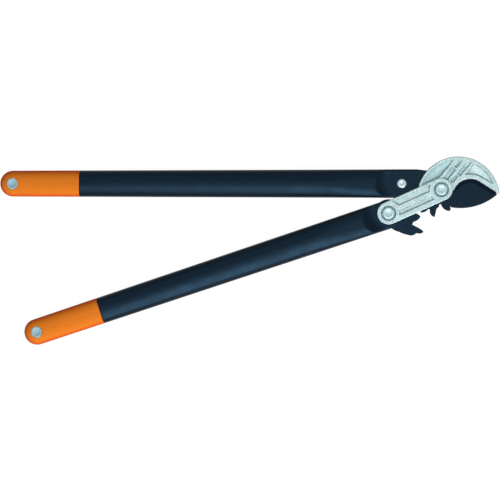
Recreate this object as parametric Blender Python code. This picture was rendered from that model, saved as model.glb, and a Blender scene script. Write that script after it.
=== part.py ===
"""Geared anvil lopper, lying closed on its back side.

Two glass-fibre handles work a blade that shuts onto a die-cast anvil head. The upper handle is
fixed to the head. The lower handle turns on the head's link arm, and the teeth of its hub drive
the blade's tail, so the blade turns the other way and faster.

Frame: metres, +Z up, X towards the tip. The origin is on the main pivot's axis, on the surface
that the lopper lies on.
"""

import math

import bmesh
import bpy
import numpy as np

mm = 0.001

# Driving dimensions of the whole tool
mid_height = 12.5 * mm
running_gap = 0.3 * mm

# Pivots
pivot_distance = 80.0 * mm
link_angle = math.radians(24.2)
pin_shank_radius = 5.0 * mm
pin_head_radius = 8.0 * mm
pin_head_depth = 1.9 * mm
counterbore_radius = 10.5 * mm
bush_radius = 7.5 * mm

# Layers, as heights above the middle plane
blade_half = 2.0 * mm
sector_half = 4.0 * mm
fork_inner = 4.4 * mm
fork_outer = 7.4 * mm
cheek_inner = 7.7 * mm
disc_top = 11.6 * mm
link_top = 12.2 * mm
pocket_depth = 2.3 * mm
link_pocket_depth = 1.8 * mm

# Handles
handle_half_width = 19.8 * mm
handle_end_half_width = 17.85 * mm
handle_half_depth = 12.5 * mm
handle_wall = 3.0 * mm
handle_oval_power = 2.4
head_oval_power = 4.0
upper_handle_length = 445.5 * mm
lower_handle_length = 420.7 * mm
lower_axis_offset = -1.6 * mm
handle_spread = math.radians(18.49)
flat_radius = 34.5 * mm
flat_wall_slope = 5.0 * mm
hollow_start = 44.5 * mm
spigot_length = 60.0 * mm
grip_length = 109.5 * mm
grip_wall = 2.4 * mm
grip_solid_end = 34.0 * mm
plug_radius = 7.6 * mm
plug_inset = 17.0 * mm
plug_sink = 0.3 * mm

# Upper handle's head
rivet_x = -54.6 * mm
upper_axis_y = 8.1 * mm
rivet_shank_radius = 3.0 * mm
rivet_head_radius = 6.5 * mm
rivet_head_height = 2.4 * mm
rivet_dimple_radius = 3.0 * mm
slot_root_x = -80.0 * mm
eye_radius = 14.0 * mm
shoulder_height = 12.0 * mm
head_corner_x = -20.2 * mm
head_corner_rise = 18.1 * mm

# Lower handle's hub
hub_radius = 19.2 * mm
lower_head_reach = -3.0 * mm
hub_washer_radius = 14.0 * mm
washer_thickness = 0.7 * mm

# Gear: the handle turns by one part and the blade by gear_ratio parts
gear_ratio = 1.17
handle_travel = math.radians(60.0)
tooth_gap = 0.35 * mm

# Anvil head
disc_centre = (23.5 * mm, -11.8 * mm)
disc_radius = 57.2 * mm
rim_width = 4.8 * mm
fan_rim_width = 3.0 * mm
flange_width = 5.8 * mm
bay_centre = (40.1 * mm, -9.3 * mm)
bay_radius = 24.3 * mm
bay_start = math.radians(157.0)
bay_end = math.radians(57.6)
bay_foot = math.radians(-12.0)
link_half_width = 15.6 * mm
web_angle = math.radians(98.0)
blade_room = 18.0 * mm
cast_edge = 0.8 * mm

# Pockets of the casting, with distances across the ribs and along them from the main pivot
rib_angle = math.radians(51.0)
boss_wall_radius = 16.7 * mm
fan_side = 12.4 * mm
crescent_side = -12.6 * mm
rib_pockets = (
    (1.4 * mm, 8.2 * mm, 14.5 * mm, 34.0 * mm),
    (2.4 * mm, 6.0 * mm, 36.0 * mm, None),
    (-8.8 * mm, -3.0 * mm, 30.7 * mm, None),
    (-7.0 * mm, -2.3 * mm, boss_wall_radius, 28.8 * mm),
)
pocket_corner = 1.2 * mm
link_pockets = ((3.8 * mm, 12.9 * mm), (-8.7 * mm, -2.0 * mm))
link_pocket_from_gear = 17.0 * mm
link_pocket_from_main = 16.5 * mm
link_pocket_corner = 1.0 * mm

# Blade
blade_hub_radius = 14.0 * mm
blade_washer_radius = 12.5 * mm
bevel_width = 6.0 * mm
blade_nose_inset = 4.0 * mm
blade_tip = (77.3 * mm, -7.2 * mm)
blade_belly = (47.2 * mm, -23.1 * mm)
blade_throat = (14.1 * mm, -24.8 * mm)


def clear_scene():
    """Remove every object that the file holds."""
    for thing in list(bpy.data.objects):
        bpy.data.objects.remove(thing, do_unlink=True)


def material(name, colour, roughness, metallic):
    """A plain Principled BSDF material, with its colour in linear light."""
    finish = bpy.data.materials.new(name)
    finish.use_nodes = True
    shader = finish.node_tree.nodes["Principled BSDF"]
    shader.inputs["Base Color"].default_value = (*colour, 1.0)
    shader.inputs["Roughness"].default_value = roughness
    shader.inputs["Metallic"].default_value = metallic
    return finish


def polar(centre, radius, angle):
    """The point at this radius and angle from a centre."""
    return (centre[0] + radius * math.cos(angle), centre[1] + radius * math.sin(angle))


def arc(centre, radius, start, end, facet=math.radians(6.0)):
    """Points along an arc, both ends included, with facets no longer than this angle."""
    steps = max(2, math.ceil(abs(end - start) / facet))
    return [polar(centre, radius, start + (end - start) * i / steps) for i in range(steps + 1)]


def circle(centre, radius, count=36):
    """Points round a whole circle."""
    return [polar(centre, radius, 2 * math.pi * i / count) for i in range(count)]


def arc_through(start, middle, end, steps):
    """Points along the circle through three points, from the first to the last."""
    ax, ay = start
    bx, by = middle
    cx, cy = end
    twice_area = 2 * (ax * (by - cy) + bx * (cy - ay) + cx * (ay - by))
    square_a = ax * ax + ay * ay
    square_b = bx * bx + by * by
    square_c = cx * cx + cy * cy
    ux = (square_a * (by - cy) + square_b * (cy - ay) + square_c * (ay - by)) / twice_area
    uy = (square_a * (cx - bx) + square_b * (ax - cx) + square_c * (bx - ax)) / twice_area
    radius = math.hypot(ax - ux, ay - uy)
    first = math.atan2(ay - uy, ax - ux)
    turn = (math.atan2(cy - uy, cx - ux) - first + math.pi) % (2 * math.pi) - math.pi
    return [polar((ux, uy), radius, first + turn * i / steps) for i in range(steps + 1)]


def far_crossing(point, angle, centre, radius):
    """Where a ray from a point last crosses a circle."""
    dx = point[0] - centre[0]
    dy = point[1] - centre[1]
    along = dx * math.cos(angle) + dy * math.sin(angle)
    reach = -along + math.sqrt(along * along - dx * dx - dy * dy + radius * radius)
    return polar(point, reach, angle)


def rounded(corners, radius, steps=3):
    """A closed outline with each corner cut by a short curve that starts this far from it."""
    outline = []
    count = len(corners)
    for i in range(count):
        before = np.array(corners[i - 1])
        corner = np.array(corners[i])
        after = np.array(corners[(i + 1) % count])
        to_before = before - corner
        to_after = after - corner
        reach = min(radius, 0.4 * np.hypot(*to_before), 0.4 * np.hypot(*to_after))
        start = corner + to_before / np.hypot(*to_before) * reach
        end = corner + to_after / np.hypot(*to_after) * reach
        for step in range(steps + 1):
            t = step / steps
            point = (1 - t) ** 2 * start + 2 * t * (1 - t) * corner + t * t * end
            outline.append((float(point[0]), float(point[1])))
    return outline


def add_prism(mesh, outline, low, high):
    """Add an outline extruded from a low to a high level to a bmesh."""
    bottom = [mesh.verts.new((x, y, low)) for x, y in outline]
    face = mesh.faces.new(bottom)
    grown = bmesh.ops.extrude_face_region(mesh, geom=[face])
    top = [item for item in grown["geom"] if isinstance(item, bmesh.types.BMVert)]
    bmesh.ops.translate(mesh, verts=top, vec=(0.0, 0.0, high - low))


def add_cast_prism(mesh, outline, half, edge):
    """Add an outline extruded both ways, with its outer edges broken by a narrow slope."""
    points = np.array(outline)
    ahead = np.roll(points, -1, axis=0) - np.roll(points, 1, axis=0)
    inward = np.stack([-ahead[:, 1], ahead[:, 0]], axis=1)
    inward /= np.hypot(inward[:, 0], inward[:, 1])[:, None]
    levels = ((-half, edge), (edge - half, 0.0), (half - edge, 0.0), (half, edge))
    rows = []
    for level, inset in levels:
        rows.append([mesh.verts.new((x, y, level)) for x, y in points + inward * inset])
    for lower, upper in zip(rows, rows[1:]):
        for i in range(len(outline)):
            j = (i + 1) % len(outline)
            mesh.faces.new((lower[i], lower[j], upper[j], upper[i]))
    mesh.faces.new(rows[0])
    mesh.faces.new(rows[-1])


def finish_mesh(mesh, name, finish, smooth=True):
    """Turn a bmesh into an object at the origin, with its faces pointing out."""
    bmesh.ops.recalc_face_normals(mesh, faces=mesh.faces)
    data = bpy.data.meshes.new(name)
    mesh.to_mesh(data)
    mesh.free()
    if finish:
        data.materials.append(finish)
    if smooth:
        data.shade_smooth()
        data.set_sharp_from_angle(angle=math.radians(30.0))
    thing = bpy.data.objects.new(name, data)
    bpy.context.scene.collection.objects.link(thing)
    return thing


def prisms(name, pieces, finish=None):
    """One object of several extruded outlines, each given as outline, low and high."""
    mesh = bmesh.new()
    for outline, low, high in pieces:
        add_prism(mesh, outline, low, high)
    return finish_mesh(mesh, name, finish)


def cast_prism(name, outline, half, finish=None):
    """One object of an anticlockwise outline, cast with broken edges."""
    mesh = bmesh.new()
    add_cast_prism(mesh, outline, half, cast_edge)
    return finish_mesh(mesh, name, finish)


def turned(name, profile, finish, steps=28):
    """A closed profile of (radius, height) points, turned about the Z axis.

    A profile that touches the axis gives a solid, and one that stays off it gives a ring.
    """
    mesh = bmesh.new()
    verts = [mesh.verts.new((radius, 0.0, height)) for radius, height in profile]
    edges = [mesh.edges.new((verts[i - 1], verts[i])) for i in range(1, len(verts))]
    if profile[0][0] > 0:
        edges.append(mesh.edges.new((verts[-1], verts[0])))
    bmesh.ops.spin(mesh, geom=verts + edges, cent=(0, 0, 0), axis=(0, 0, 1),
                   angle=2 * math.pi, steps=steps, use_merge=True)
    bmesh.ops.remove_doubles(mesh, verts=mesh.verts, dist=1e-7)
    return finish_mesh(mesh, name, finish)


def loft(name, rings, finish):
    """A solid skinned over a row of rings with equal numbers of points, closed at both ends."""
    mesh = bmesh.new()
    rows = [[mesh.verts.new(point) for point in ring] for ring in rings]
    count = len(rings[0])
    for lower, upper in zip(rows, rows[1:]):
        for i in range(count):
            j = (i + 1) % count
            mesh.faces.new((lower[i], lower[j], upper[j], upper[i]))
    mesh.faces.new(rows[0])
    mesh.faces.new(rows[-1])
    return finish_mesh(mesh, name, finish)


def oval(x, offset, half_width, half_depth, power=handle_oval_power, count=32):
    """A ring across the handle: a superellipse at this x, centred on its axis."""
    ring = []
    for i in range(count):
        angle = 2 * math.pi * i / count
        c = math.cos(angle)
        s = math.sin(angle)
        y = math.copysign(abs(c) ** (2 / power), c) * half_width
        z = math.copysign(abs(s) ** (2 / power), s) * half_depth
        ring.append((x, offset + y, z))
    return ring


def combine(target, other, operation):
    """Cut, join or keep what is common, with a live Boolean modifier and a hidden second shape."""
    other.hide_render = True
    other.display_type = "WIRE"
    step = target.modifiers.new(operation.lower() + "_" + other.name, "BOOLEAN")
    step.operation = operation
    step.solver = "EXACT"
    step.object = other


def place(thing, x, y, angle=0.0):
    """Put a piece that is modelled about its own axis at its place on the middle plane."""
    thing.location = (x, y, mid_height)
    thing.rotation_euler = (0.0, 0.0, angle)
    return thing


def axis_empty(name, x, y):
    """An empty on a joint's axis, which the moving pieces hang from."""
    pivot = bpy.data.objects.new(name, None)
    pivot.location = (x, y, mid_height)
    bpy.context.scene.collection.objects.link(pivot)
    return pivot


def link_point(along, across):
    """A point given along the link arm from the gear pivot, and across it to the upper side."""
    c = math.cos(link_angle)
    s = math.sin(link_angle)
    reach = along - pivot_distance
    return (reach * c - across * s, reach * s + across * c)


main_pivot = (0.0, 0.0)
gear_pivot = link_point(0.0, 0.0)
shank_hole_radius = pin_shank_radius + running_gap
bush_hole_radius = bush_radius + running_gap
sector_pitch = pivot_distance * gear_ratio / (1 + gear_ratio)
blade_pitch = pivot_distance - sector_pitch

# Teeth: angle of the tip, height over the pitch circle, width of the first and the last flank in
# degrees, and how full each flank is. Both gears' angles run down from the line between the pivots.
sector_teeth = (
    (12.5, -2.6 * mm, 6.0, 6.0, 1.7, 1.7),
    (30.8, 1.2 * mm, 6.2, 12.4, 1.7, 1.3),
    (52.3, 11.5 * mm, 2.4, 8.6, 2.4, 2.2),
)
sector_root = -6.6 * mm
sector_back = ((8.0, 6.0 * mm), (-4.0, -8.0 * mm), (-16.0, -20.0 * mm))
sector_shoulder = ((58.6, 4.9 * mm), (65.4, 3.0 * mm), (68.5, 1.4 * mm), (74.0, -4.4 * mm),
                   (83.6, -12.9 * mm), (100.0, -20.7 * mm), (108.0, -24.5 * mm))
blade_teeth = (
    (-6.0, 4.5 * mm, 13.0, 12.0, 1.7, 1.7),
    (19.5, 7.9 * mm, 11.0, 13.0, 1.7, 1.7),
    (52.8, 2.6 * mm, 15.5, 6.0, 1.8, 1.7),
    (88.0, -4.9 * mm, 22.0, 8.0, 1.4, 1.7),
)
blade_outer_gap = -5.0 * mm
blade_inner_gap = -16.3 * mm


def tooth(angles, pitch, root, row):
    """Radius of a round-tipped tooth over its root: a rounded slope on each side of its tip."""
    middle, height, before, after, full_before, full_after = row
    first = angles < middle
    share = np.clip(np.abs(angles - middle) / np.where(first, before, after), 0.0, 1.0)
    power = np.where(first, full_before, full_after)
    return root + (pitch + height - root) * (1 - share ** power) ** (1 / power)


def sector_profile():
    """The sector's outline: angles below the pivots' line in degrees, and radii."""
    low = sector_back[-1][0]
    high = sector_shoulder[-1][0]
    steep = [np.linspace(row[0] - row[2], row[0], 6) for row in sector_teeth]
    angles = np.unique(np.round(np.concatenate([np.arange(low, high + 0.5, 1.0)] + steep), 1))
    root = sector_pitch + sector_root
    radii = np.full(angles.shape, root)
    for row in sector_teeth:
        radii = np.maximum(radii, tooth(angles, sector_pitch, root, row))
    shoulder = np.interp(angles, [a for a, _ in sector_shoulder], [h for _, h in sector_shoulder])
    tooth_end = sector_teeth[-1][0] + sector_teeth[-1][3]
    radii = np.where(angles >= tooth_end, sector_pitch + shoulder, radii)
    beside = angles >= sector_shoulder[0][0]
    radii = np.where(beside, np.maximum(radii, sector_pitch + shoulder), radii)
    back_angles = [a for a, _ in reversed(sector_back)]
    back = np.interp(angles, back_angles, [h for _, h in reversed(sector_back)])
    radii = np.where(angles < sector_back[0][0], np.minimum(radii, sector_pitch + back), radii)
    return angles, radii


def blade_limit(angles):
    """How far the blade's tail may reach at each angle so that no turn brings it to the sector.

    The sector's outline is turned through its travel, and the blade's turn is undone, so that
    each of its points draws its path on the blade. The nearest path at an angle is the limit.
    """
    sector_angles, sector_radii = sector_profile()
    fine = np.arange(sector_angles[0], sector_angles[-1], 0.02)
    radii = np.interp(fine, sector_angles, sector_radii)
    step = angles[1] - angles[0]
    limit = np.full(angles.shape, 2 * pivot_distance)
    for turn in np.linspace(0.0, handle_travel, 121):
        x = radii * np.cos(turn - np.radians(fine)) - pivot_distance
        y = radii * np.sin(turn - np.radians(fine))
        seen_from_blade = np.degrees(np.arctan2(y, x) + gear_ratio * turn) % 360 - 180
        places = np.round((seen_from_blade - angles[0]) / step).astype(int)
        near = (places >= 0) & (places < len(angles))
        np.minimum.at(limit, places[near], np.hypot(x, y)[near])
    beside = [np.roll(limit, shift) for shift in range(-3, 4)]
    return np.minimum.reduce(beside) - tooth_gap


def tail_outline():
    """Points of the blade's toothed tail, in the order of rising angle round the main pivot."""
    angles = np.arange(-30.0, 95.0, 0.25)
    deep = np.clip((angles - 46.0) / 10.0, 0.0, 1.0)
    floor = blade_pitch + blade_outer_gap + (blade_inner_gap - blade_outer_gap) * deep
    back = np.clip((angles + 30.0) / 22.0, 0.0, 1.0)
    floor = blade_hub_radius + (floor - blade_hub_radius) * np.sin(back * math.pi / 2)
    radii = floor.copy()
    for row in blade_teeth:
        radii = np.maximum(radii, tooth(angles, blade_pitch, floor, row))
    radii = np.minimum(radii, blade_limit(angles))
    steep = np.abs(np.gradient(radii)) > 0.4 * mm
    kept = steep | (np.arange(len(angles)) % 5 == 0)
    turned_angles = math.pi + link_angle + np.radians(angles)
    return [polar(main_pivot, r, a) for r, a in zip(radii[kept], turned_angles[kept])]


def handle_width(x, length):
    """Half the handle's width at x, which tapers from its head to its end."""
    share = min(max(-x / (length + grip_length), 0.0), 1.0)
    return handle_half_width + (handle_end_half_width - handle_half_width) * share


def handle_tube(name, length, offset, head_reach, hollow_end, finish):
    """An oval tube along X, with a stepped spigot at the grip's end, open there.

    The rings run along the outside from the head to the spigot's end, and back inside to the
    closed end of the hollow.
    """
    joint = -length
    end = joint - spigot_length

    def ring(x, inset, power=handle_oval_power):
        """A ring of the tube at x, this far inside its outer surface."""
        half_width = handle_width(x, length) - inset
        return oval(x, offset, half_width, handle_half_depth - inset, power)

    spigot_inset = grip_wall + running_gap
    bore_inset = spigot_inset + grip_wall
    flat_start = -flat_radius - flat_wall_slope
    rings = [ring(head_reach, 0.0, head_oval_power)]
    for step in range(4):
        share = step / 3
        power = head_oval_power + (handle_oval_power - head_oval_power) * share
        rings.append(ring(flat_start - 2 * flat_radius * share, 0.0, power))
    rings.append(ring(joint / 2, 0.0))
    rings.append(ring(joint, 0.0))
    rings.append(ring(joint, spigot_inset))
    rings.append(ring(end, spigot_inset))
    rings.append(ring(end, bore_inset))
    rings.append(ring(joint, bore_inset))
    rings.append(ring(joint + spigot_length / 4, handle_wall))
    rings.append(ring(hollow_end, handle_wall))
    return loft(name, rings, finish)


def grip(name, length, offset, finish):
    """The handle's end: a cap with a deep socket, rounded in plan and over its edge."""
    mouth = -length - running_gap
    tip = -length - grip_length
    socket_end = tip + grip_solid_end
    round_start = tip + handle_end_half_width
    edge = handle_half_depth / 2

    def ring(x, inset):
        """A ring of the grip at x, this far inside its outer surface."""
        half_width = handle_width(x, length) - inset
        return oval(x, offset, half_width, handle_half_depth - inset)

    rings = [ring(socket_end, grip_wall), ring(mouth, grip_wall), ring(mouth, 0.0)]
    rings.append(ring((mouth + round_start) / 2, 0.0))
    for step in range(9):
        angle = math.radians(82.0) * step / 8
        x = round_start - handle_end_half_width * math.sin(angle)
        past = max(0.0, tip + edge - x)
        depth = handle_half_depth - edge + math.sqrt(edge * edge - past * past)
        rings.append(oval(x, offset, handle_width(x, length) * math.cos(angle), depth))
    body = loft(name, rings, finish)
    hole_outline = circle((tip + plug_inset, offset), plug_radius + running_gap)
    high = 2 * handle_half_depth
    hole = prisms(name + "_plug_hole", [(hole_outline, -high, high)])
    combine(body, hole, "DIFFERENCE")
    return body, [hole]


def grip_plug(name, finish):
    """The round plug that fills the hole in a grip's end, with its edges broken."""
    half = handle_half_depth - 2 * plug_sink
    edge = plug_sink
    profile = [(0.0, half), (plug_radius - edge, half), (plug_radius, half - edge)]
    profile += [(plug_radius, edge - half), (plug_radius - edge, -half), (0.0, -half)]
    return turned(name, profile, finish)


def flat_cutter(name, centre, reach):
    """What is cut from both sides of a handle to leave its flat head.

    Seen from above it is a half circle about a joint's axis, run out towards the head. Its wall
    leans, so that the tube comes down to the flat in a short slope.
    """
    mesh = bmesh.new()
    above = 2 * handle_half_depth
    lean = flat_wall_slope / (handle_half_depth - fork_outer)
    levels = ((fork_outer, -flat_wall_slope), (above, lean * (above - handle_half_depth)))
    for side in (1.0, -1.0):
        rows = []
        for level, grow in levels:
            radius = flat_radius + grow
            outline = arc(centre, radius, math.pi / 2, 3 * math.pi / 2, math.pi / 28.5)
            outline += [(centre[0] + reach, centre[1] - radius), (centre[0] + reach, centre[1] + radius)]
            rows.append([mesh.verts.new((x, y, side * level)) for x, y in outline])
        for lower, upper in zip(rows, rows[1:]):
            for i in range(len(lower)):
                j = (i + 1) % len(lower)
                mesh.faces.new((lower[i], lower[j], upper[j], upper[i]))
        mesh.faces.new(rows[0])
        mesh.faces.new(rows[-1])
    return finish_mesh(mesh, name, None)


def fork_edge(room, far, eye):
    """The edge of the upper handle's head under the castings, with some room round it.

    It follows the link arm's inner shoulder, goes round the main pivot's eye, and comes back
    along the castings' web to the handle's upper side. Points are seen from the main pivot.
    """
    shoulder = shoulder_height - room
    meet = math.pi + link_angle - math.asin(shoulder / eye)
    beside_web = web_angle + math.radians(4.0)
    edge = [link_point(far, shoulder)]
    edge += arc(main_pivot, eye, meet, 2 * math.pi + beside_web)
    x, y = polar(main_pivot, eye_radius + 10.5 * mm, beside_web + math.radians(1.0))
    edge.append((x + room, y + room))
    edge.append((head_corner_x, upper_axis_y + head_corner_rise + room))
    return edge


def upper_handle(finish):
    """The fixed handle: an oval tube, flattened and forked at its head, with an eye."""
    reach = eye_radius + 2.0 * mm - rivet_x
    hollow_end = slot_root_x - rivet_x - hollow_start / 2
    body = handle_tube("upper_handle", upper_handle_length, 0.0, reach, hollow_end, finish)
    place(body, rivet_x, upper_axis_y)

    def seen_from_rivet(points):
        """Points seen from the main pivot, moved to the handle's own origin."""
        return [(x - rivet_x, y - upper_axis_y) for x, y in points]

    high = 2 * handle_half_depth
    wide = 3 * handle_half_width
    eye_outline = seen_from_rivet(circle(main_pivot, eye_radius))
    eye = prisms("upper_eye", [(eye_outline, -fork_outer, fork_outer)])
    flat = flat_cutter("upper_flat_cut", (0.0, 0.0), reach + flat_radius)
    edge = seen_from_rivet(fork_edge(0.0, 10.0 * mm, eye_radius - 1.0 * mm))
    corner = edge[-1]
    outside = [(corner[0] - 20.0 * mm, corner[1] + 2.5 * mm), (corner[0] - 20.0 * mm, wide)]
    outside += [(reach + wide, wide), (reach + wide, -2 * wide), (edge[0][0], -2 * wide)]
    around = prisms("upper_head_trim", [(edge + outside, -high, high)])
    slot_start = slot_root_x - rivet_x
    slot_outline = [(slot_start, -wide), (reach + wide, -wide), (reach + wide, wide), (slot_start, wide)]
    slot = prisms("upper_fork_slot", [(slot_outline, -fork_inner, fork_inner)])
    holes = prisms("upper_head_holes", [
        (circle((0.0, 0.0), rivet_shank_radius + running_gap), -high, high),
        (seen_from_rivet(circle(main_pivot, shank_hole_radius)), -high, high),
    ])
    cutters = [eye, flat, around, slot, holes]
    for cutter in cutters:
        place(cutter, rivet_x, upper_axis_y)
    combine(body, flat, "DIFFERENCE")
    combine(body, around, "DIFFERENCE")
    combine(body, eye, "UNION")
    combine(body, slot, "DIFFERENCE")
    combine(body, holes, "DIFFERENCE")
    return body


def lower_handle(finish):
    """The moving handle: the same tube, flattened to a round hub that carries the gear teeth."""
    body = handle_tube("lower_handle", lower_handle_length, lower_axis_offset, lower_head_reach,
                       -hollow_start, finish)
    flat = flat_cutter("lower_flat_cut", (0.0, 0.0), 2 * flat_radius)
    hub = prisms("lower_hub", [(circle((0.0, 0.0), hub_radius, 48), -fork_outer, fork_outer)])
    angles, radii = sector_profile()
    lean = link_angle - handle_spread
    rim = [polar((0.0, 0.0), r, lean - math.radians(a)) for a, r in zip(angles, radii)]
    sector = prisms("lower_sector", [([(0.0, 0.0)] + rim, -sector_half, sector_half)])
    seat_depth = washer_thickness + running_gap
    seat = circle((0.0, 0.0), hub_washer_radius + running_gap)
    bore = circle((0.0, 0.0), bush_hole_radius)
    high = 2 * handle_half_depth
    seats = prisms("lower_washer_seats", [(seat, fork_outer - seat_depth, high),
                                          (seat, -high, seat_depth - fork_outer)])
    hole = prisms("lower_hub_bore", [(bore, -high, high)])
    combine(body, flat, "DIFFERENCE")
    combine(body, hub, "UNION")
    combine(body, sector, "UNION")
    combine(body, seats, "DIFFERENCE")
    combine(body, hole, "DIFFERENCE")
    for cutter in (flat, hub, sector, seats, hole):
        place(cutter, *gear_pivot, handle_spread)
    return place(body, *gear_pivot, handle_spread)


def rib_line(across):
    """A point on a line along the ribs, this far to the upper side of the main pivot."""
    return (-across * math.sin(rib_angle), across * math.cos(rib_angle))


def rib_point(along, across):
    """A point given along the ribs from the main pivot, and across them to the upper side."""
    x, y = rib_line(across)
    return polar((x, y), along, rib_angle)


def channel(right, left, start, end):
    """The outline of a pocket between two ribs, from a start to an end or to the disc's rim.

    Without an end, its outer corners lie on the rim's inner circle.
    """
    inner_rim = disc_radius - rim_width
    near = [rib_point(start, left), rib_point(start, right)]
    if end is not None:
        return near + [rib_point(end, right), rib_point(end, left)]
    far_right = far_crossing(rib_line(right), rib_angle, disc_centre, inner_rim)
    far_left = far_crossing(rib_line(left), rib_angle, disc_centre, inner_rim)
    return near + [far_right, far_left]


def direction_from(centre, point):
    """The angle at which a point is seen from a centre."""
    return math.atan2(point[1] - centre[1], point[0] - centre[0])


def fan_pocket():
    """The big pocket left of the ribs: between the link arm, the first rib and the rim."""
    inner_rim = disc_radius - fan_rim_width
    above_link = link_half_width + 1.0 * mm
    top = far_crossing(rib_line(fan_side), rib_angle, disc_centre, inner_rim)
    left = far_crossing(link_point(0.9 * pivot_distance, above_link), link_angle + math.pi,
                        disc_centre, inner_rim)
    turn = rib_angle - link_angle
    along = (above_link - fan_side * math.cos(turn)) / math.sin(turn)
    corner = rib_point(along, fan_side)
    rim = arc(disc_centre, inner_rim, direction_from(disc_centre, top),
              direction_from(disc_centre, left))
    return [corner] + rim


def crescent_pocket():
    """The long pocket between the rim and the anvil's flange, right of the last rib."""
    inner_rim = disc_radius - rim_width
    top = far_crossing(rib_line(crescent_side), rib_angle, disc_centre, inner_rim)
    flange = bay_radius + flange_width
    low = far_crossing(rib_line(crescent_side), rib_angle, bay_centre, flange)
    flange_end = polar(bay_centre, flange, bay_end)
    tip = far_crossing(flange_end, bay_end - math.pi / 2, disc_centre, inner_rim - 1.0 * mm)
    inner = arc(bay_centre, flange, direction_from(bay_centre, low), bay_end)
    rim = arc(disc_centre, inner_rim, direction_from(disc_centre, tip),
              direction_from(disc_centre, top))
    return inner + rim


def link_pocket(low, high):
    """A pocket along the link arm, with round ends about the two pivots."""
    start_low = math.asin(low / link_pocket_from_gear)
    start_high = math.asin(high / link_pocket_from_gear)
    end_low = math.pi - math.asin(low / link_pocket_from_main)
    end_high = math.pi - math.asin(high / link_pocket_from_main)
    outline = []
    for angle in (start_high, (start_low + start_high) / 2, start_low):
        along, across = polar((0.0, 0.0), link_pocket_from_gear, angle)
        outline.append(link_point(along, across))
    for angle in (end_low, (end_low + end_high) / 2, end_high):
        along, across = polar((pivot_distance, 0.0), link_pocket_from_main, angle)
        outline.append(link_point(along, across))
    return outline


def anvil_head(finish):
    """The casting: a ribbed disc with the anvil's bay, and the link arm, slotted for the blade."""
    body = cast_prism("anvil_head", circle(disc_centre, disc_radius, 80), disc_top, finish)
    high = 2 * link_top
    far = 2 * pivot_distance
    room = 0.5 * mm

    edge = arc(bay_centre, bay_radius, bay_start, bay_end, math.radians(4.0))
    past_tip = polar(edge[-1], far, bay_end - math.pi / 2)
    behind = link_point(-far, 0.0)
    foot = polar(main_pivot, link_half_width - running_gap, bay_foot)
    bay_outline = [main_pivot, foot] + edge + [past_tip, (far, -far), (behind[0], -far), behind]
    bay = prisms("head_bay", [(bay_outline, -high, high)])

    gear_side = arc(gear_pivot, link_half_width, link_angle + math.pi / 2, link_angle + 3 * math.pi / 2)
    main_side = arc(main_pivot, link_half_width, link_angle - math.pi / 2, link_angle + math.pi / 2)
    link = cast_prism("head_link", gear_side + main_side, link_top)

    slot_half = fork_inner + running_gap
    slot_edge = arc(main_pivot, blade_room, bay_foot / 2, web_angle)
    slot_outline = slot_edge + [polar(main_pivot, far, web_angle), (-far, far), (-far, -far), (0.0, -far)]
    slot = prisms("head_slot", [(slot_outline, -slot_half, slot_half)])

    tube_corner = math.hypot(lower_head_reach, handle_half_width - lower_axis_offset)
    hub_room_outline = circle(gear_pivot, tube_corner + room, 48)
    hub_room = prisms("head_hub_room", [(hub_room_outline, -cheek_inner, cheek_inner)])
    fork_room = fork_edge(room, -10.0 * mm, eye_radius + room)
    corner = fork_room[-1]
    fork_room += [(-far, corner[1] + 2.0 * mm), (-far, fork_room[0][1])]
    fork = prisms("head_fork_room", [(fork_room, -cheek_inner, cheek_inner)])

    channels = [fan_pocket(), crescent_pocket()]
    channels += [channel(*sides_and_ends) for sides_and_ends in rib_pockets]
    floor = disc_top - pocket_depth
    pieces = []
    for outline in channels:
        smooth = rounded(outline, pocket_corner, 2)
        pieces.append((smooth, floor, high))
        pieces.append((smooth, -high, -floor))
    pockets = prisms("head_pockets", pieces)

    link_floor = link_top - link_pocket_depth
    pieces = []
    for low, upper in link_pockets:
        smooth = rounded(link_pocket(low, upper), link_pocket_corner, 2)
        pieces.append((smooth, link_floor, high))
        pieces.append((smooth, -high, -link_floor))
    for pivot in (main_pivot, gear_pivot):
        seat = mid_height - pin_head_depth - running_gap
        pieces.append((circle(pivot, counterbore_radius), seat, high))
        pieces.append((circle(pivot, counterbore_radius), -high, -seat))
    link_hollows = prisms("head_link_pockets", pieces)

    holes = prisms("head_pin_holes", [(circle(main_pivot, shank_hole_radius), -high, high),
                                      (circle(gear_pivot, shank_hole_radius), -high, high)])
    for cutter in (bay, link, slot, hub_room, fork, pockets, link_hollows, holes):
        place(cutter, 0.0, 0.0)
    combine(body, bay, "DIFFERENCE")
    combine(body, pockets, "DIFFERENCE")
    combine(body, link, "UNION")
    combine(body, slot, "DIFFERENCE")
    combine(body, hub_room, "DIFFERENCE")
    combine(body, fork, "DIFFERENCE")
    combine(body, link_hollows, "DIFFERENCE")
    combine(body, holes, "DIFFERENCE")
    return place(body, 0.0, 0.0)


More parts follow.
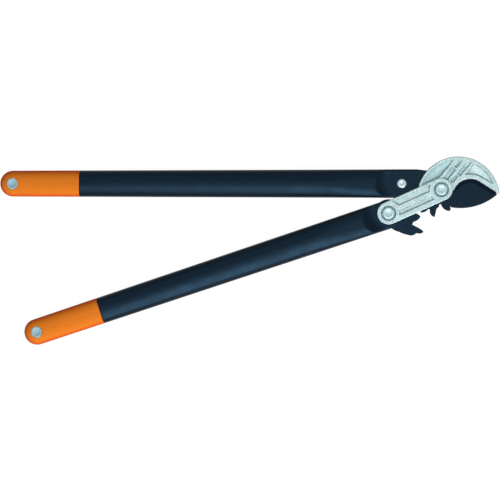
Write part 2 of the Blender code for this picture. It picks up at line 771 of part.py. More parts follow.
def blade(finish):
    """The coated steel blade: its edge follows the anvil, and its tail is cut as gear teeth.

    Three loops make it. The middle one is the outline, and the two outer ones draw in along the
    cutting edge, so that both sides are ground down to it.
    """
    edge_radius = bay_radius - running_gap
    anvil_end = polar(bay_centre, edge_radius, bay_end)
    nose_radius = disc_radius - blade_nose_inset
    edge_tip = far_crossing(anvil_end, bay_end - math.pi / 2, disc_centre, nose_radius)
    straight = [tuple(np.array(edge_tip) + (np.array(anvil_end) - np.array(edge_tip)) * i / 5)
                for i in range(5)]
    cutting = straight + arc(bay_centre, edge_radius, bay_end, bay_start + math.radians(1.0),
                             math.radians(4.0))
    tail_start = math.pi + link_angle - math.radians(33.0)
    hub = arc(main_pivot, blade_hub_radius, math.radians(25.0), tail_start)
    tail = tail_outline()
    belly = arc_through(blade_throat, blade_belly, blade_tip, 14)
    outline = cutting + hub + tail + belly

    count = len(outline)
    points = np.array(outline)
    ahead = np.roll(points, -1, axis=0) - np.roll(points, 1, axis=0)
    inward = np.stack([-ahead[:, 1], ahead[:, 0]], axis=1)
    inward /= np.hypot(inward[:, 0], inward[:, 1])[:, None]
    from_tip = np.hypot(*(points - points[0]).T)
    from_heel = np.hypot(*(points - points[len(cutting) - 1]).T)
    width = np.zeros(count)
    fade = np.minimum(from_tip, from_heel) / bevel_width
    width[:len(cutting)] = (bevel_width * np.minimum(1.0, fade))[:len(cutting)]
    ground = points + inward * width[:, None]

    mesh = bmesh.new()
    low = [mesh.verts.new((x, y, -blade_half)) for x, y in ground]
    middle = [mesh.verts.new((x, y, 0.0)) for x, y in points]
    top = [mesh.verts.new((x, y, blade_half)) for x, y in ground]
    for lower, upper in ((low, middle), (middle, top)):
        for i in range(count):
            j = (i + 1) % count
            mesh.faces.new((lower[i], lower[j], upper[j], upper[i]))
    mesh.faces.new(low)
    mesh.faces.new(top)
    body = finish_mesh(mesh, "blade", finish)
    bore = prisms("blade_bore", [(circle(main_pivot, bush_hole_radius), -2 * blade_half, 2 * blade_half)])
    combine(body, bore, "DIFFERENCE")
    place(bore, *main_pivot)
    return place(body, *main_pivot)


def pin_and_nut(name, pivot, finish):
    """A flush pivot pin from the front, and the blind nut that closes it at the back."""
    outer = mid_height
    seat = outer - pin_head_depth
    edge = 0.5 * mm
    tail = 1.2 * mm - outer
    pin = turned(name + "_pin", [
        (0.0, outer), (pin_head_radius - edge, outer), (pin_head_radius, outer - edge),
        (pin_head_radius, seat), (pin_shank_radius, seat), (pin_shank_radius, tail), (0.0, tail),
    ], finish)
    nut_bore = pin_shank_radius + 0.5 * running_gap
    nut = turned(name + "_nut", [
        (0.0, -outer), (pin_head_radius - edge, -outer), (pin_head_radius, edge - outer),
        (pin_head_radius, -seat), (nut_bore, -seat), (nut_bore, tail - running_gap),
        (0.0, tail - running_gap),
    ], finish)
    return [place(pin, *pivot), place(nut, *pivot)]


def ring(name, pivot, inner, outer, low, high, finish):
    """A plain ring between two levels."""
    body = turned(name, [(inner, low), (outer, low), (outer, high), (inner, high)], finish)
    return place(body, *pivot)


def bush(name, pivot, half, finish):
    """A bush on a pivot pin's shank, with this half length."""
    return ring(name, pivot, shank_hole_radius, bush_radius, -half, half, finish)


def washer_pair(name, pivot, radius, low, high, finish):
    """Two washers round a bush, one on each side of the middle plane."""
    ring(name + "_front", pivot, bush_hole_radius, radius, low, high, finish)
    ring(name + "_back", pivot, bush_hole_radius, radius, -high, -low, finish)


def handle_rivet(finish):
    """The rivet through the fork, with a dished head, and the cap that closes it at the back."""
    under = fork_outer + running_gap
    top = under + rivet_head_height
    dish = rivet_head_height / 3
    tail = -under - rivet_head_height / 2
    shoulder = rivet_head_radius - rivet_head_height / 2
    head = turned("handle_rivet", [
        (0.0, top - dish), (rivet_dimple_radius - dish, top - dish), (rivet_dimple_radius, top),
        (shoulder, top), (rivet_head_radius, top - dish), (rivet_head_radius, under),
        (rivet_shank_radius, under), (rivet_shank_radius, tail), (0.0, tail),
    ], finish)
    bore = rivet_shank_radius + 0.5 * running_gap
    cap = turned("handle_rivet_cap", [
        (0.0, -top), (shoulder, -top), (rivet_head_radius, dish - top), (rivet_head_radius, -under),
        (bore, -under), (bore, tail - running_gap), (0.0, tail - running_gap),
    ], finish)
    return [place(head, rivet_x, upper_axis_y), place(cap, rivet_x, upper_axis_y)]


def hang(children, parent):
    """Parent pieces to an empty without moving them."""
    for child in children:
        child.parent = parent
        child.matrix_parent_inverse = parent.matrix_basis.inverted()


def build():
    """Build the whole lopper."""
    clear_scene()
    fibre = material("fibre_reinforced_nylon", (0.010, 0.022, 0.040), 0.45, 0.0)
    orange = material("orange_nylon", (0.76, 0.19, 0.03), 0.5, 0.0)
    plug = material("grey_blue_nylon", (0.30, 0.45, 0.50), 0.5, 0.0)
    casting = material("die_cast_aluminium", (0.52, 0.62, 0.66), 0.4, 0.6)
    coated = material("coated_steel", (0.010, 0.020, 0.035), 0.4, 0.3)
    steel = material("zinc_plated_steel", (0.60, 0.66, 0.68), 0.35, 0.9)
    bronze = material("sintered_bronze", (0.45, 0.28, 0.12), 0.5, 0.9)
    acetal = material("white_acetal", (0.80, 0.80, 0.76), 0.5, 0.0)

    gear_axis = axis_empty("gear_pivot_axis", *gear_pivot)
    blade_axis = axis_empty("main_pivot_axis", *main_pivot)

    anvil_head(casting)
    upper_handle(fibre)
    pin_and_nut("main_pivot", main_pivot, steel)
    pin_and_nut("gear_pivot", gear_pivot, steel)
    handle_rivet(steel)
    upper_end, holes = grip("upper_grip", upper_handle_length, 0.0, orange)
    for thing in [upper_end] + holes:
        place(thing, rivet_x, upper_axis_y)
    plug_x = plug_inset - upper_handle_length - grip_length
    place(grip_plug("upper_grip_plug", plug), rivet_x + plug_x, upper_axis_y)

    lower = lower_handle(fibre)
    lower_end, holes = grip("lower_grip", lower_handle_length, lower_axis_offset, orange)
    for thing in [lower_end] + holes:
        place(thing, *gear_pivot, handle_spread)
    plug_x = plug_inset - lower_handle_length - grip_length
    at = polar(gear_pivot, plug_x, handle_spread)
    at = polar(at, lower_axis_offset, handle_spread + math.pi / 2)
    lower_plug = place(grip_plug("lower_grip_plug", plug), *at)
    gear_bush = bush("gear_bush", gear_pivot, fork_outer, bronze)
    hang([lower, lower_end, lower_plug, gear_bush], gear_axis)
    washer_low = fork_outer - washer_thickness
    washer_pair("hub_washer", gear_pivot, hub_washer_radius, washer_low, fork_outer, acetal)

    cutter = blade(coated)
    inner = blade_half + running_gap
    outer = fork_inner - running_gap
    hang([cutter, bush("blade_bush", main_pivot, outer, bronze)], blade_axis)
    washer_pair("blade_washer", main_pivot, blade_washer_radius, inner, outer, acetal)


build()
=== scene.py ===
"""Looks of the geared anvil lopper: its fine surfaces, finishes, light and camera.

Most of the tool is flat, so its pieces are height maps. Each is worked out over the tool's plan,
once towards the front and once towards the back, and both sides close on one edge. The round
pieces are turned. Lengths are in metres, and the plan's origin is the main pivot.
"""

import math

import bmesh
import bpy
import numpy as np
import mathutils
from mathutils.geometry import delaunay_2d_cdt
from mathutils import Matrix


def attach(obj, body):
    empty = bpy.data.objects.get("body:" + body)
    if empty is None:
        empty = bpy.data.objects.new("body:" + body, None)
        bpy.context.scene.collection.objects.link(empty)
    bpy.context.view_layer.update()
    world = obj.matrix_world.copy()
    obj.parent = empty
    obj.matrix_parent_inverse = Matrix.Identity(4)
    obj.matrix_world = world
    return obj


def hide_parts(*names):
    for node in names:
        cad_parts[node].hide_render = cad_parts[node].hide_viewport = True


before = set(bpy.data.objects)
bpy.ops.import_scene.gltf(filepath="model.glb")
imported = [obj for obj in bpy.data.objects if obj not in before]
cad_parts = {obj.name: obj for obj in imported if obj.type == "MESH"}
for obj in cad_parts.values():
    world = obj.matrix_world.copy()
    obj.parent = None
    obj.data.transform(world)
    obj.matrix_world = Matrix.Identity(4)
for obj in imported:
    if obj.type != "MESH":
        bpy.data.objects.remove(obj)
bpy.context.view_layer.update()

mm = 0.001
mid_height = 12.5 * mm
running_gap = 0.3 * mm

# Pivots
pivot_distance = 80.0 * mm
link_angle = math.radians(24.2)
main_pivot = np.array((0.0, 0.0))
gear_pivot = -pivot_distance * np.array((math.cos(link_angle), math.sin(link_angle)))
rivet_place = np.array((-54.6, 8.1)) * mm
pin_shank_radius = 5.0 * mm
pin_head_radius = 8.0 * mm
pin_head_depth = 1.9 * mm
pin_hole_radius = 5.3 * mm
pin_tail = 1.2 * mm
counterbore_radius = 10.5 * mm
bush_hole_radius = 7.8 * mm
rivet_hole_radius = 3.3 * mm
rivet_bore_radius = 3.15 * mm
rivet_shank_radius = 3.0 * mm
rivet_head_radius = 6.5 * mm
rivet_head_height = 2.4 * mm

# Layers, as heights above the middle plane
blade_half = 2.0 * mm
sector_half = 4.0 * mm
fork_inner = 4.4 * mm
fork_outer = 7.4 * mm
slot_half = 4.7 * mm
cheek_inner = 7.7 * mm
disc_top = 11.6 * mm
link_top = 12.2 * mm

# Handles
handle_half_width = 19.8 * mm
handle_end_half_width = 17.85 * mm
handle_half_depth = 12.5 * mm
handle_wall = 3.0 * mm
handle_oval_power = 2.4
head_oval_power = 4.0
handle_spread = math.radians(18.49)
upper_length = 445.5 * mm
lower_length = 420.7 * mm
lower_offset = -1.6 * mm
lower_head_reach = -3.0 * mm
flat_radius = 34.5 * mm
flat_slope = 5.0 * mm
flat_dish_radius = 20.0 * mm
flat_dish_rise = 1.3 * mm
spigot_length = 60.0 * mm
grip_length = 109.5 * mm
grip_wall = 2.4 * mm
grip_solid_end = 34.0 * mm
plug_radius = 7.6 * mm
plug_inset = 17.0 * mm
head_start = -40.0 * mm
upper_head_reach = 24.0 * mm
upper_hollow_end = -47.65 * mm
lower_hollow_end = -44.5 * mm
fork_slot_start = -25.4 * mm
shoulder_height = 12.0 * mm
web_corner_radius = 24.5 * mm
head_corner = (-20.2 * mm, 26.2 * mm)
eye_radius = 14.0 * mm
hub_radius = 19.2 * mm
seat_radius = 14.3 * mm
seat_level = 6.4 * mm

# Gear
gear_ratio = 1.17
handle_travel = math.radians(60.0)
sector_pitch = pivot_distance * gear_ratio / (1 + gear_ratio)
blade_pitch = pivot_distance - sector_pitch

# Teeth: angle of the tip, height over the pitch circle, width of the first and the last flank in
# degrees, and how full each flank is. Both gears' angles run down from the line between the pivots.
sector_teeth = (
    (12.5, -2.6 * mm, 6.0, 6.0, 1.7, 1.7),
    (30.8, 1.2 * mm, 6.2, 12.4, 1.7, 1.3),
    (52.3, 11.5 * mm, 2.4, 8.6, 2.4, 2.2),
)
sector_root = -6.6 * mm
sector_back = np.array(((-16.0, -20.0), (-4.0, -8.0), (8.0, 6.0)))
sector_shoulder = np.array(((58.6, 4.9), (65.4, 3.0), (68.5, 1.4), (74.0, -4.4), (83.6, -12.9),
                            (100.0, -20.7), (108.0, -24.5)))
blade_teeth = (
    (-6.0, 4.5 * mm, 13.0, 12.0, 1.7, 1.7),
    (19.5, 7.9 * mm, 11.0, 13.0, 1.7, 1.7),
    (52.8, 2.6 * mm, 15.5, 6.0, 1.8, 1.7),
    (88.0, -4.9 * mm, 22.0, 8.0, 1.4, 1.7),
)
blade_outer_gap = -5.0 * mm
blade_inner_gap = -16.3 * mm
tooth_gap = 0.35 * mm

# Anvil head
disc_centre = np.array((23.5, -11.8)) * mm
disc_radius = 57.2 * mm
rim_width = 4.8 * mm
fan_rim_width = 3.0 * mm
flange_width = 5.8 * mm
bay_centre = np.array((40.1, -9.3)) * mm
bay_radius = 24.3 * mm
bay_start = math.radians(157.0)
bay_end = math.radians(57.6)
bay_foot = math.radians(-12.0)
link_half_width = 15.6 * mm
rib_angle = math.radians(51.0)
web_angle = math.radians(98.0)
blade_room = 18.0 * mm
head_room = 0.5 * mm

# Pockets of the casting, with distances across the ribs and along them from the main pivot
pocket_depth = 2.3 * mm
pocket_corner = 1.3 * mm
pocket_wall = 1.3 * mm
pocket_lip = 0.4 * mm
fan_side = 12.4 * mm
crescent_side = -12.6 * mm
rib_pockets = (
    (1.4 * mm, 8.2 * mm, 14.5 * mm, 34.0 * mm),
    (2.4 * mm, 6.0 * mm, 36.0 * mm, None),
    (-8.8 * mm, -3.0 * mm, 30.7 * mm, None),
    (-7.0 * mm, -2.3 * mm, 16.7 * mm, 28.8 * mm),
)
link_pocket_depth = 1.8 * mm
link_pocket_corner = 1.2 * mm
link_pocket_from_main = 16.5 * mm
link_pockets = ((3.8 * mm, 12.9 * mm, 17.0 * mm), (-8.7 * mm, -2.0 * mm, 15.0 * mm))

# Blade
blade_hub_radius = 14.0 * mm
blade_nose_inset = 4.0 * mm
bevel_width = 6.0 * mm
blade_tip = np.array((77.3, -7.2)) * mm
blade_belly = np.array((47.2, -23.1)) * mm
blade_throat = np.array((14.1, -24.8)) * mm

# How finely the plans are drawn
edge_spacing = 0.7 * mm
hole_spacing = 0.9 * mm
head_spacing = 1.3 * mm
plate_spacing = 1.6 * mm

# How wide a step in a height map is, and how far outside an edge a point may lie to count as on it
step_width = 0.05 * mm
on_edge = -1e-7


# Plan shapes

def polar(centre, radius, angles):
    """Points at a radius round a centre, one for each angle."""
    angles = np.asarray(angles, dtype=float)
    return np.stack([centre[0] + radius * np.cos(angles), centre[1] + radius * np.sin(angles)], -1)


def arc(centre, radius, start, end, spacing=edge_spacing):
    """Evenly spaced points along an arc, with both of its ends."""
    count = max(3, math.ceil(abs(end - start) * radius / spacing) + 1)
    return polar(centre, radius, np.linspace(start, end, count))


def circle(centre, radius, spacing=edge_spacing):
    """Evenly spaced points round a whole circle, anticlockwise."""
    return arc(centre, radius, 0.0, 2 * math.pi, spacing)[:-1]


def divided(outline, spacing=edge_spacing):
    """A closed outline with each of its sides cut into equal steps no longer than the spacing."""
    outline = np.asarray(outline, dtype=float)
    side = np.roll(outline, -1, axis=0) - outline
    steps = np.maximum(1, np.ceil(np.hypot(*side.T) / spacing)).astype(int)
    source = np.repeat(np.arange(len(outline)), steps)
    share = (np.arange(steps.sum()) - np.repeat(np.cumsum(steps) - steps, steps)) / steps[source]
    return outline[source] + side[source] * share[:, None]


def even(outline, spacing):
    """A closed outline walked at equal steps, with its corners no longer kept."""
    closed = np.concatenate([outline, outline[:1]])
    walked = np.concatenate([[0.0], np.cumsum(np.hypot(*np.diff(closed, axis=0).T))])
    places = np.linspace(0.0, walked[-1], int(walked[-1] / spacing) + 1)[:-1]
    return np.stack([np.interp(places, walked, closed[:, axis]) for axis in (0, 1)], axis=1)


def softened(outline, reach, spacing=0.35 * mm):
    """An evenly stepped outline whose points are each the mean of what lies this near along it.

    The mean is taken twice, so that a corner becomes a smooth curve.
    """
    outline = even(outline, spacing)
    near = max(1, round(reach / spacing))
    for _ in range(2):
        outline = sum(np.roll(outline, shift, axis=0) for shift in range(-near, near + 1)) / (2 * near + 1)
    return outline


def rounded(outline, reach, steps=5):
    """A closed outline with each corner replaced by a parabola that starts this far from it."""
    corner = np.asarray(outline, dtype=float)
    back = np.roll(corner, 1, axis=0) - corner
    ahead = np.roll(corner, -1, axis=0) - corner
    back_length = np.hypot(*back.T)
    ahead_length = np.hypot(*ahead.T)
    cut = np.minimum(reach, 0.4 * np.minimum(back_length, ahead_length))
    start = corner + back * (cut / back_length)[:, None]
    end = corner + ahead * (cut / ahead_length)[:, None]
    t = np.linspace(0.0, 1.0, steps)[None, :, None]
    curve = (1 - t) ** 2 * start[:, None] + 2 * t * (1 - t) * corner[:, None] + t * t * end[:, None]
    return curve.reshape(-1, 2)


def edge_distance(points, outline, closed=True):
    """How far each point is from the nearest side of an outline, and whether it lies inside.

    A point is inside where a line from it to the right crosses the outline an odd number of times.
    """
    start = outline if closed else outline[:-1]
    side = (np.roll(outline, -1, axis=0) - outline) if closed else np.diff(outline, axis=0)
    length_squared = np.maximum((side ** 2).sum(1), 1e-18)
    distance = np.empty(len(points))
    inside = np.empty(len(points), dtype=bool)
    for first in range(0, len(points), 2000):
        offset = points[first:first + 2000, None, :] - start[None]
        along = np.clip((offset * side).sum(-1) / length_squared, 0.0, 1.0)
        near = offset - side * along[..., None]
        distance[first:first + 2000] = np.sqrt((near ** 2).sum(-1).min(1))
        above = offset[..., 1] < 0
        next_above = (offset - side)[..., 1] < 0
        rise = np.where(side[:, 1] == 0, 1e-18, side[:, 1])
        crossing = offset[..., 0] < side[:, 0] * offset[..., 1] / rise
        inside[first:first + 2000] = ((above != next_above) & crossing).sum(1) % 2 == 1
    return distance, inside


def depth_inside(points, outline):
    """How deep each point lies inside a closed outline, negative outside it."""
    distance, inside = edge_distance(points, outline)
    return np.where(inside, distance, -distance)


def circle_depth(points, centre, radius):
    """How deep each point lies inside a circle."""
    return radius - np.hypot(points[:, 0] - centre[0], points[:, 1] - centre[1])


def rings(outline, insets):
    """Copies of an anticlockwise outline, each moved inwards along its normals by one inset."""
    ahead = np.roll(outline, -1, axis=0) - np.roll(outline, 1, axis=0)
    inward = np.stack([-ahead[:, 1], ahead[:, 0]], axis=1)
    inward /= np.maximum(np.hypot(*inward.T), 1e-12)[:, None]
    return np.concatenate([outline + inward * inset for inset in insets])


def grid(low, high, spacing):
    """Loose points on a square grid between two corners."""
    x = np.arange(low[0], high[0] + spacing, spacing)
    y = np.arange(low[1], high[1] + spacing, spacing)
    return np.stack(np.meshgrid(x, y), axis=-1).reshape(-1, 2)


def thinned(points, spacing):
    """The points with only the first one kept in each square of this size."""
    squares = np.round(points / spacing).astype(int)
    _, first = np.unique(squares, axis=0, return_index=True)
    return points[np.sort(first)]


def away_from(points, others, reach):
    """The points that have none of the others within about this reach."""
    low = np.minimum(points.min(0), others.min(0)) - 2 * reach
    size = tuple((np.maximum(points.max(0), others.max(0)) - low) // reach + 4)
    taken = np.zeros(np.array(size, dtype=int), dtype=bool)
    cell = ((others - low) // reach).astype(int)
    for step_x in (-1, 0, 1):
        for step_y in (-1, 0, 1):
            taken[cell[:, 0] + step_x, cell[:, 1] + step_y] = True
    own = ((points - low) // reach).astype(int)
    return points[~taken[own[:, 0], own[:, 1]]]


# Heights

def smooth(share):
    """A ramp from nought to one that starts and ends level: three squares less two cubes."""
    share = np.clip(share, 0.0, 1.0)
    return share * share * (3 - 2 * share)


def round_over(depth, radius):
    """How far a quarter-round edge has dropped at each depth inside it."""
    lack = np.clip(radius - depth, 0.0, radius)
    return radius - np.sqrt(radius * radius - lack * lack)


def soft_least(a, b, blend):
    """The lower of two heights, with a smooth parabola where they come within the blend."""
    near = np.clip(1.0 - np.abs(a - b) / blend, 0.0, 1.0)
    return np.minimum(a, b) - near * near * blend / 4


# Meshes

def finished(name, points, faces, sharp=50.0):
    """A named mesh object with its doubled points joined, smooth but for edges past an angle."""
    used = np.unique(np.concatenate([np.ravel(group) for group in faces]))
    renumber = np.zeros(len(points), dtype=int)
    renumber[used] = np.arange(len(used))
    data = bpy.data.meshes.new(name)
    polygons = [face for group in faces for face in renumber[group].tolist()]
    data.from_pydata(points[used].tolist(), [], polygons)
    mesh = bmesh.new()
    mesh.from_mesh(data)
    bmesh.ops.remove_doubles(mesh, verts=mesh.verts, dist=0.001 * mm)
    mesh.to_mesh(data)
    mesh.free()
    data.shade_smooth()
    data.set_sharp_from_angle(angle=math.radians(sharp))
    piece = bpy.data.objects.new(name, data)
    bpy.context.scene.collection.objects.link(piece)
    return piece


def plate(name, outlines, fill, inside, top, bottom, place=None):
    """A piece whose front and back are height maps over the tool's plan.

    The outlines are closed rows of plan points that become edges, and the fill holds loose plan
    points. They are joined into triangles, and inside says which of them hold material. Top
    gives the height of the outer surface over the middle plane, and bottom that of the inner
    one: where it is nought the two halves are one solid, and elsewhere there is a hollow. Place
    moves plan points from the piece's own plan to the tool's.
    """
    corners = np.concatenate(outlines)
    count = len(corners)
    ends = np.cumsum([len(outline) for outline in outlines])
    following = np.arange(1, count + 1)
    following[ends - 1] = np.concatenate([[0], ends[:-1]])
    sides = np.stack([np.arange(count), following], axis=1)
    plan = np.concatenate([corners, fill]) / mm
    _, first = np.unique(np.round(plan / 0.004).astype(int), axis=0, return_index=True)
    plan = plan[np.concatenate([np.arange(count), np.sort(first[first >= count])])]
    joined = delaunay_2d_cdt(plan.tolist(), sides.tolist(), [], 0, 1e-5)
    plan = np.array([tuple(point) for point in joined[0]]) * mm
    triangles = np.array(joined[2])
    a, b, c = (plan[triangles[:, i]] for i in range(3))
    area = (b[:, 0] - a[:, 0]) * (c[:, 1] - a[:, 1]) - (b[:, 1] - a[:, 1]) * (c[:, 0] - a[:, 0])
    triangles[area < 0] = triangles[area < 0][:, ::-1]
    triangles = triangles[inside((a + b + c) / 3) & (np.abs(area) > 1e-13)]

    low = bottom(plan)
    high = np.maximum(top(plan), low)
    number = len(plan)
    own = np.arange(number)
    back = number + own
    inner = 2 * number + own
    inner_back = np.where(low > 0, 3 * number + own, inner)
    if place is not None:
        plan = place(plan)
    points = np.zeros((4 * number, 3))
    points[:, :2] = np.tile(plan, (4, 1))
    points[:, 2] = mid_height + np.concatenate([high, -high, low, -low])

    hollow = triangles[(low[triangles] > 0).any(axis=1)]
    edges = np.concatenate([triangles[:, (0, 1)], triangles[:, (1, 2)], triangles[:, (2, 0)]])
    codes = edges[:, 0] * number + edges[:, 1]
    free = edges[~np.isin(codes, edges[:, 1] * number + edges[:, 0])]
    i, j = free.T
    walls = [np.stack([j, i, inner[i], inner[j]], axis=1),
             np.stack([back[i], back[j], inner_back[j], inner_back[i]], axis=1)]
    faces = [triangles, back[triangles][:, ::-1], inner[hollow][:, ::-1], inner_back[hollow]] + walls
    return finished(name, points, [group for group in faces if len(group)])


def turned(name, profile, centre, steps=96, sharp=40.0):
    """A profile of radius and height turned about a vertical axis.

    It runs from the top down the outer side. A profile that starts and ends on the axis gives a
    solid, and one that comes back to its start gives a ring.
    """
    profile = np.asarray(profile, dtype=float)
    angles = 2 * math.pi * np.arange(steps) / steps
    x = centre[0] + profile[:, None, 0] * np.cos(angles)
    y = centre[1] + profile[:, None, 0] * np.sin(angles)
    z = np.broadcast_to(mid_height + profile[:, None, 1], x.shape)
    points = np.stack([x, y, z], axis=-1).reshape(-1, 3)
    row, column = np.meshgrid(np.arange(len(profile) - 1), np.arange(steps), indexing="ij")
    here = row * steps + column
    beside = row * steps + (column + 1) % steps
    quads = np.stack([here, here + steps, beside + steps, beside], axis=-1).reshape(-1, 4)
    return finished(name, points, [quads], sharp)


def mark(piece, name, measure):
    """Store a number at each of a piece's points, worked out from their places."""
    data = piece.data
    places = np.empty(3 * len(data.vertices))
    data.vertices.foreach_get("co", places)
    layer = data.attributes.new(name, "FLOAT", "POINT")
    layer.data.foreach_set("value", measure(places.reshape(-1, 3)).astype(np.float32))
    return piece


def mark_steep(piece):
    """Store how steeply each point's surface stands: nought up to 18 degrees, and one past 63."""
    normals = np.empty(3 * len(piece.data.vertices))
    piece.data.vertices.foreach_get("normal", normals)
    upright = np.abs(normals.reshape(-1, 3)[:, 2])
    return mark(piece, "steep", lambda places: smooth((0.95 - upright) / 0.5))


# Handles

def to_upper(points):
    """From the upper handle's own plan to the tool's."""
    return points + rivet_place


def to_lower(points):
    """From the lower handle's own plan to the tool's: turned by the spread, then moved to its pivot."""
    c = math.cos(handle_spread)
    s = math.sin(handle_spread)
    return gear_pivot + points @ np.array(((c, s), (-s, c)))


def tube_half_width(x, length):
    """Half the handle's width, which narrows evenly from its head to its end."""
    share = np.clip(-x / (length + grip_length), 0.0, 1.0)
    return handle_half_width + (handle_end_half_width - handle_half_width) * share


def tube_power(x):
    """The oval's power, which falls from the boxy head to the round tube."""
    share = np.clip((-x - flat_radius - flat_slope) / (2 * flat_radius), 0.0, 1.0)
    return head_oval_power + (handle_oval_power - head_oval_power) * share


def oval_height(y, half_width, half_depth, power):
    """Height of an oval section over its middle: one less the width's share to a power, rooted."""
    share = np.clip(np.abs(y) / half_width, 0.0, 1.0)
    return half_depth * (1 - share ** power) ** (1 / power)


def tube_inset(x, length):
    """How far the surface lies inside the handle's full section: a broken edge, then the spigot."""
    past = x + length
    return np.where(past >= 0.0, round_over(past, 0.6 * mm), grip_wall + running_gap)


def tube_top(points, length, offset):
    """The tube's outer height, with the round-walled recess sunk in its head.

    The recess wall rises by an even slope outside a circle about the joint, and curves at its
    foot and over its lip. Before it the floor is dished: it rises by a square.
    """
    x, y = points.T
    inset = tube_inset(x, length)
    half_width = tube_half_width(x, length) - inset
    oval = oval_height(y - offset, half_width, handle_half_depth - inset, tube_power(x))
    reach = np.where(x < 0.0, np.hypot(x, y), np.abs(y))
    past = np.maximum(reach - flat_radius + flat_slope, 0.0)
    foot = 1.2 * mm
    dish_width = flat_radius - flat_slope - flat_dish_radius
    dish = flat_dish_rise * np.maximum((reach - flat_dish_radius) / dish_width, 0.0) ** 2
    dish_at_lip = flat_dish_rise * ((flat_radius - flat_dish_radius) / dish_width) ** 2
    wall = (handle_half_depth - fork_outer - dish_at_lip) / flat_slope
    rise = (np.sqrt(past * past + foot * foot) - foot) * wall
    return soft_least(oval, fork_outer + dish + rise, 1.6 * mm)


def tube_bottom(points, length, offset, hollow_end):
    """The tube's inner height: a narrow bore in the spigot that widens to the handle's wall."""
    x, y = points.T
    spigot_wall = 2 * grip_wall + running_gap
    wall = spigot_wall + (handle_wall - spigot_wall) * np.clip((x + length) / (spigot_length / 4), 0, 1)
    half_width = tube_half_width(x, length) - wall
    bore = oval_height(y - offset, half_width, handle_half_depth - wall, tube_power(x))
    return np.where(x < hollow_end, bore, 0.0)


def skin_half_width(x, length):
    """Half the width of the tube's own surface."""
    return tube_half_width(x, length) - tube_inset(x, length)


def tube_stations(length):
    """Places along the tube: close together at the grip's joint, and wide apart between."""
    joint = -length
    spigot = np.linspace(joint - spigot_length, joint - 0.02 * mm, 12)
    lip = joint + np.array((0.0, 0.05, 0.15, 0.3, 0.45, 0.6, 0.9)) * mm
    run = np.linspace(joint + 6 * mm, head_start - 40 * mm, 50)
    approach = np.linspace(head_start - 36 * mm, head_start, 14)
    return np.concatenate([spigot, lip, run, approach])


def both_sides(stations, half_width, offset):
    """Both sides of a handle in plan: up one side, across its head's end, and back down the other."""
    lower = np.stack([stations, offset - half_width], axis=1)
    upper = np.stack([stations, offset + half_width], axis=1)[::-1]
    return np.concatenate([lower, divided([lower[-1], upper[0]])[:-1], upper])


def rows_across(x, y):
    """Plan points from places along a handle and, for each of them, a row of places across it."""
    return np.stack([np.broadcast_to(x[:, None], y.shape), y], axis=-1).reshape(-1, 2)


def oval_steps(power, count=64):
    """Even steps round half an oval, as shares of its half width."""
    turn = math.pi * np.arange(1, count) / count
    return np.copysign(np.abs(np.cos(turn)) ** (2 / power), np.cos(turn))


def tube_rows(stations, length, offset):
    """Loose points over the tube: at each station the plan places of even steps round the oval."""
    across = oval_steps(tube_power(stations)[:, None])
    return rows_across(stations, offset + across * skin_half_width(stations, length)[:, None])


def head_rows(start, end, length, offset):
    """Loose points along both sides of a handle's head, where its section turns down."""
    x = np.arange(start, end, 0.9 * mm)
    level = np.array((4.4, 5.4, 6.1, 6.6, 7.0, 7.4, 8.0, 9.0)) * mm
    share = (1 - (level / handle_half_depth) ** head_oval_power) ** (1 / head_oval_power)
    across = np.concatenate([share, -share])
    return rows_across(x, offset + across * tube_half_width(x, length)[:, None])


def recess_arcs(length, offset):
    """Loose points along the recess wall, on circles about the joint."""
    radii = flat_radius - flat_slope + np.array((-0.6, 0.0, 0.5, 1.0, 1.6, 2.3, 3.1, 3.8, 4.4, 4.9, 5.4,
                                                 6.0, 6.8)) * mm
    arcs = np.concatenate([arc((0.0, 0.0), r, math.pi / 2, 3 * math.pi / 2, 0.8 * mm) for r in radii])
    room = tube_half_width(arcs[:, 0], length) - 0.4 * mm
    return arcs[np.abs(arcs[:, 1] - offset) < room]


def link_point(along, across):
    """A point given along the link arm from the gear pivot, and across it to the upper side."""
    ahead = np.array((math.cos(link_angle), math.sin(link_angle)))
    aside = np.array((-ahead[1], ahead[0]))
    return gear_pivot + ahead * along + aside * across


def fork_edge(room, far, eye):
    """The edge of the fixed handle's head under the castings, with some room round it."""
    shoulder = shoulder_height - room
    meet = math.pi + link_angle - math.asin(shoulder / eye)
    beside_web = web_angle + math.radians(4.0)
    beside = polar(main_pivot, web_corner_radius, beside_web + math.radians(1.0)) + room
    corner = (head_corner[0], head_corner[1] + room)
    round_eye = arc(main_pivot, eye, meet, 2 * math.pi + beside_web)
    return np.concatenate([[link_point(far, shoulder)], round_eye, [beside], [corner]])


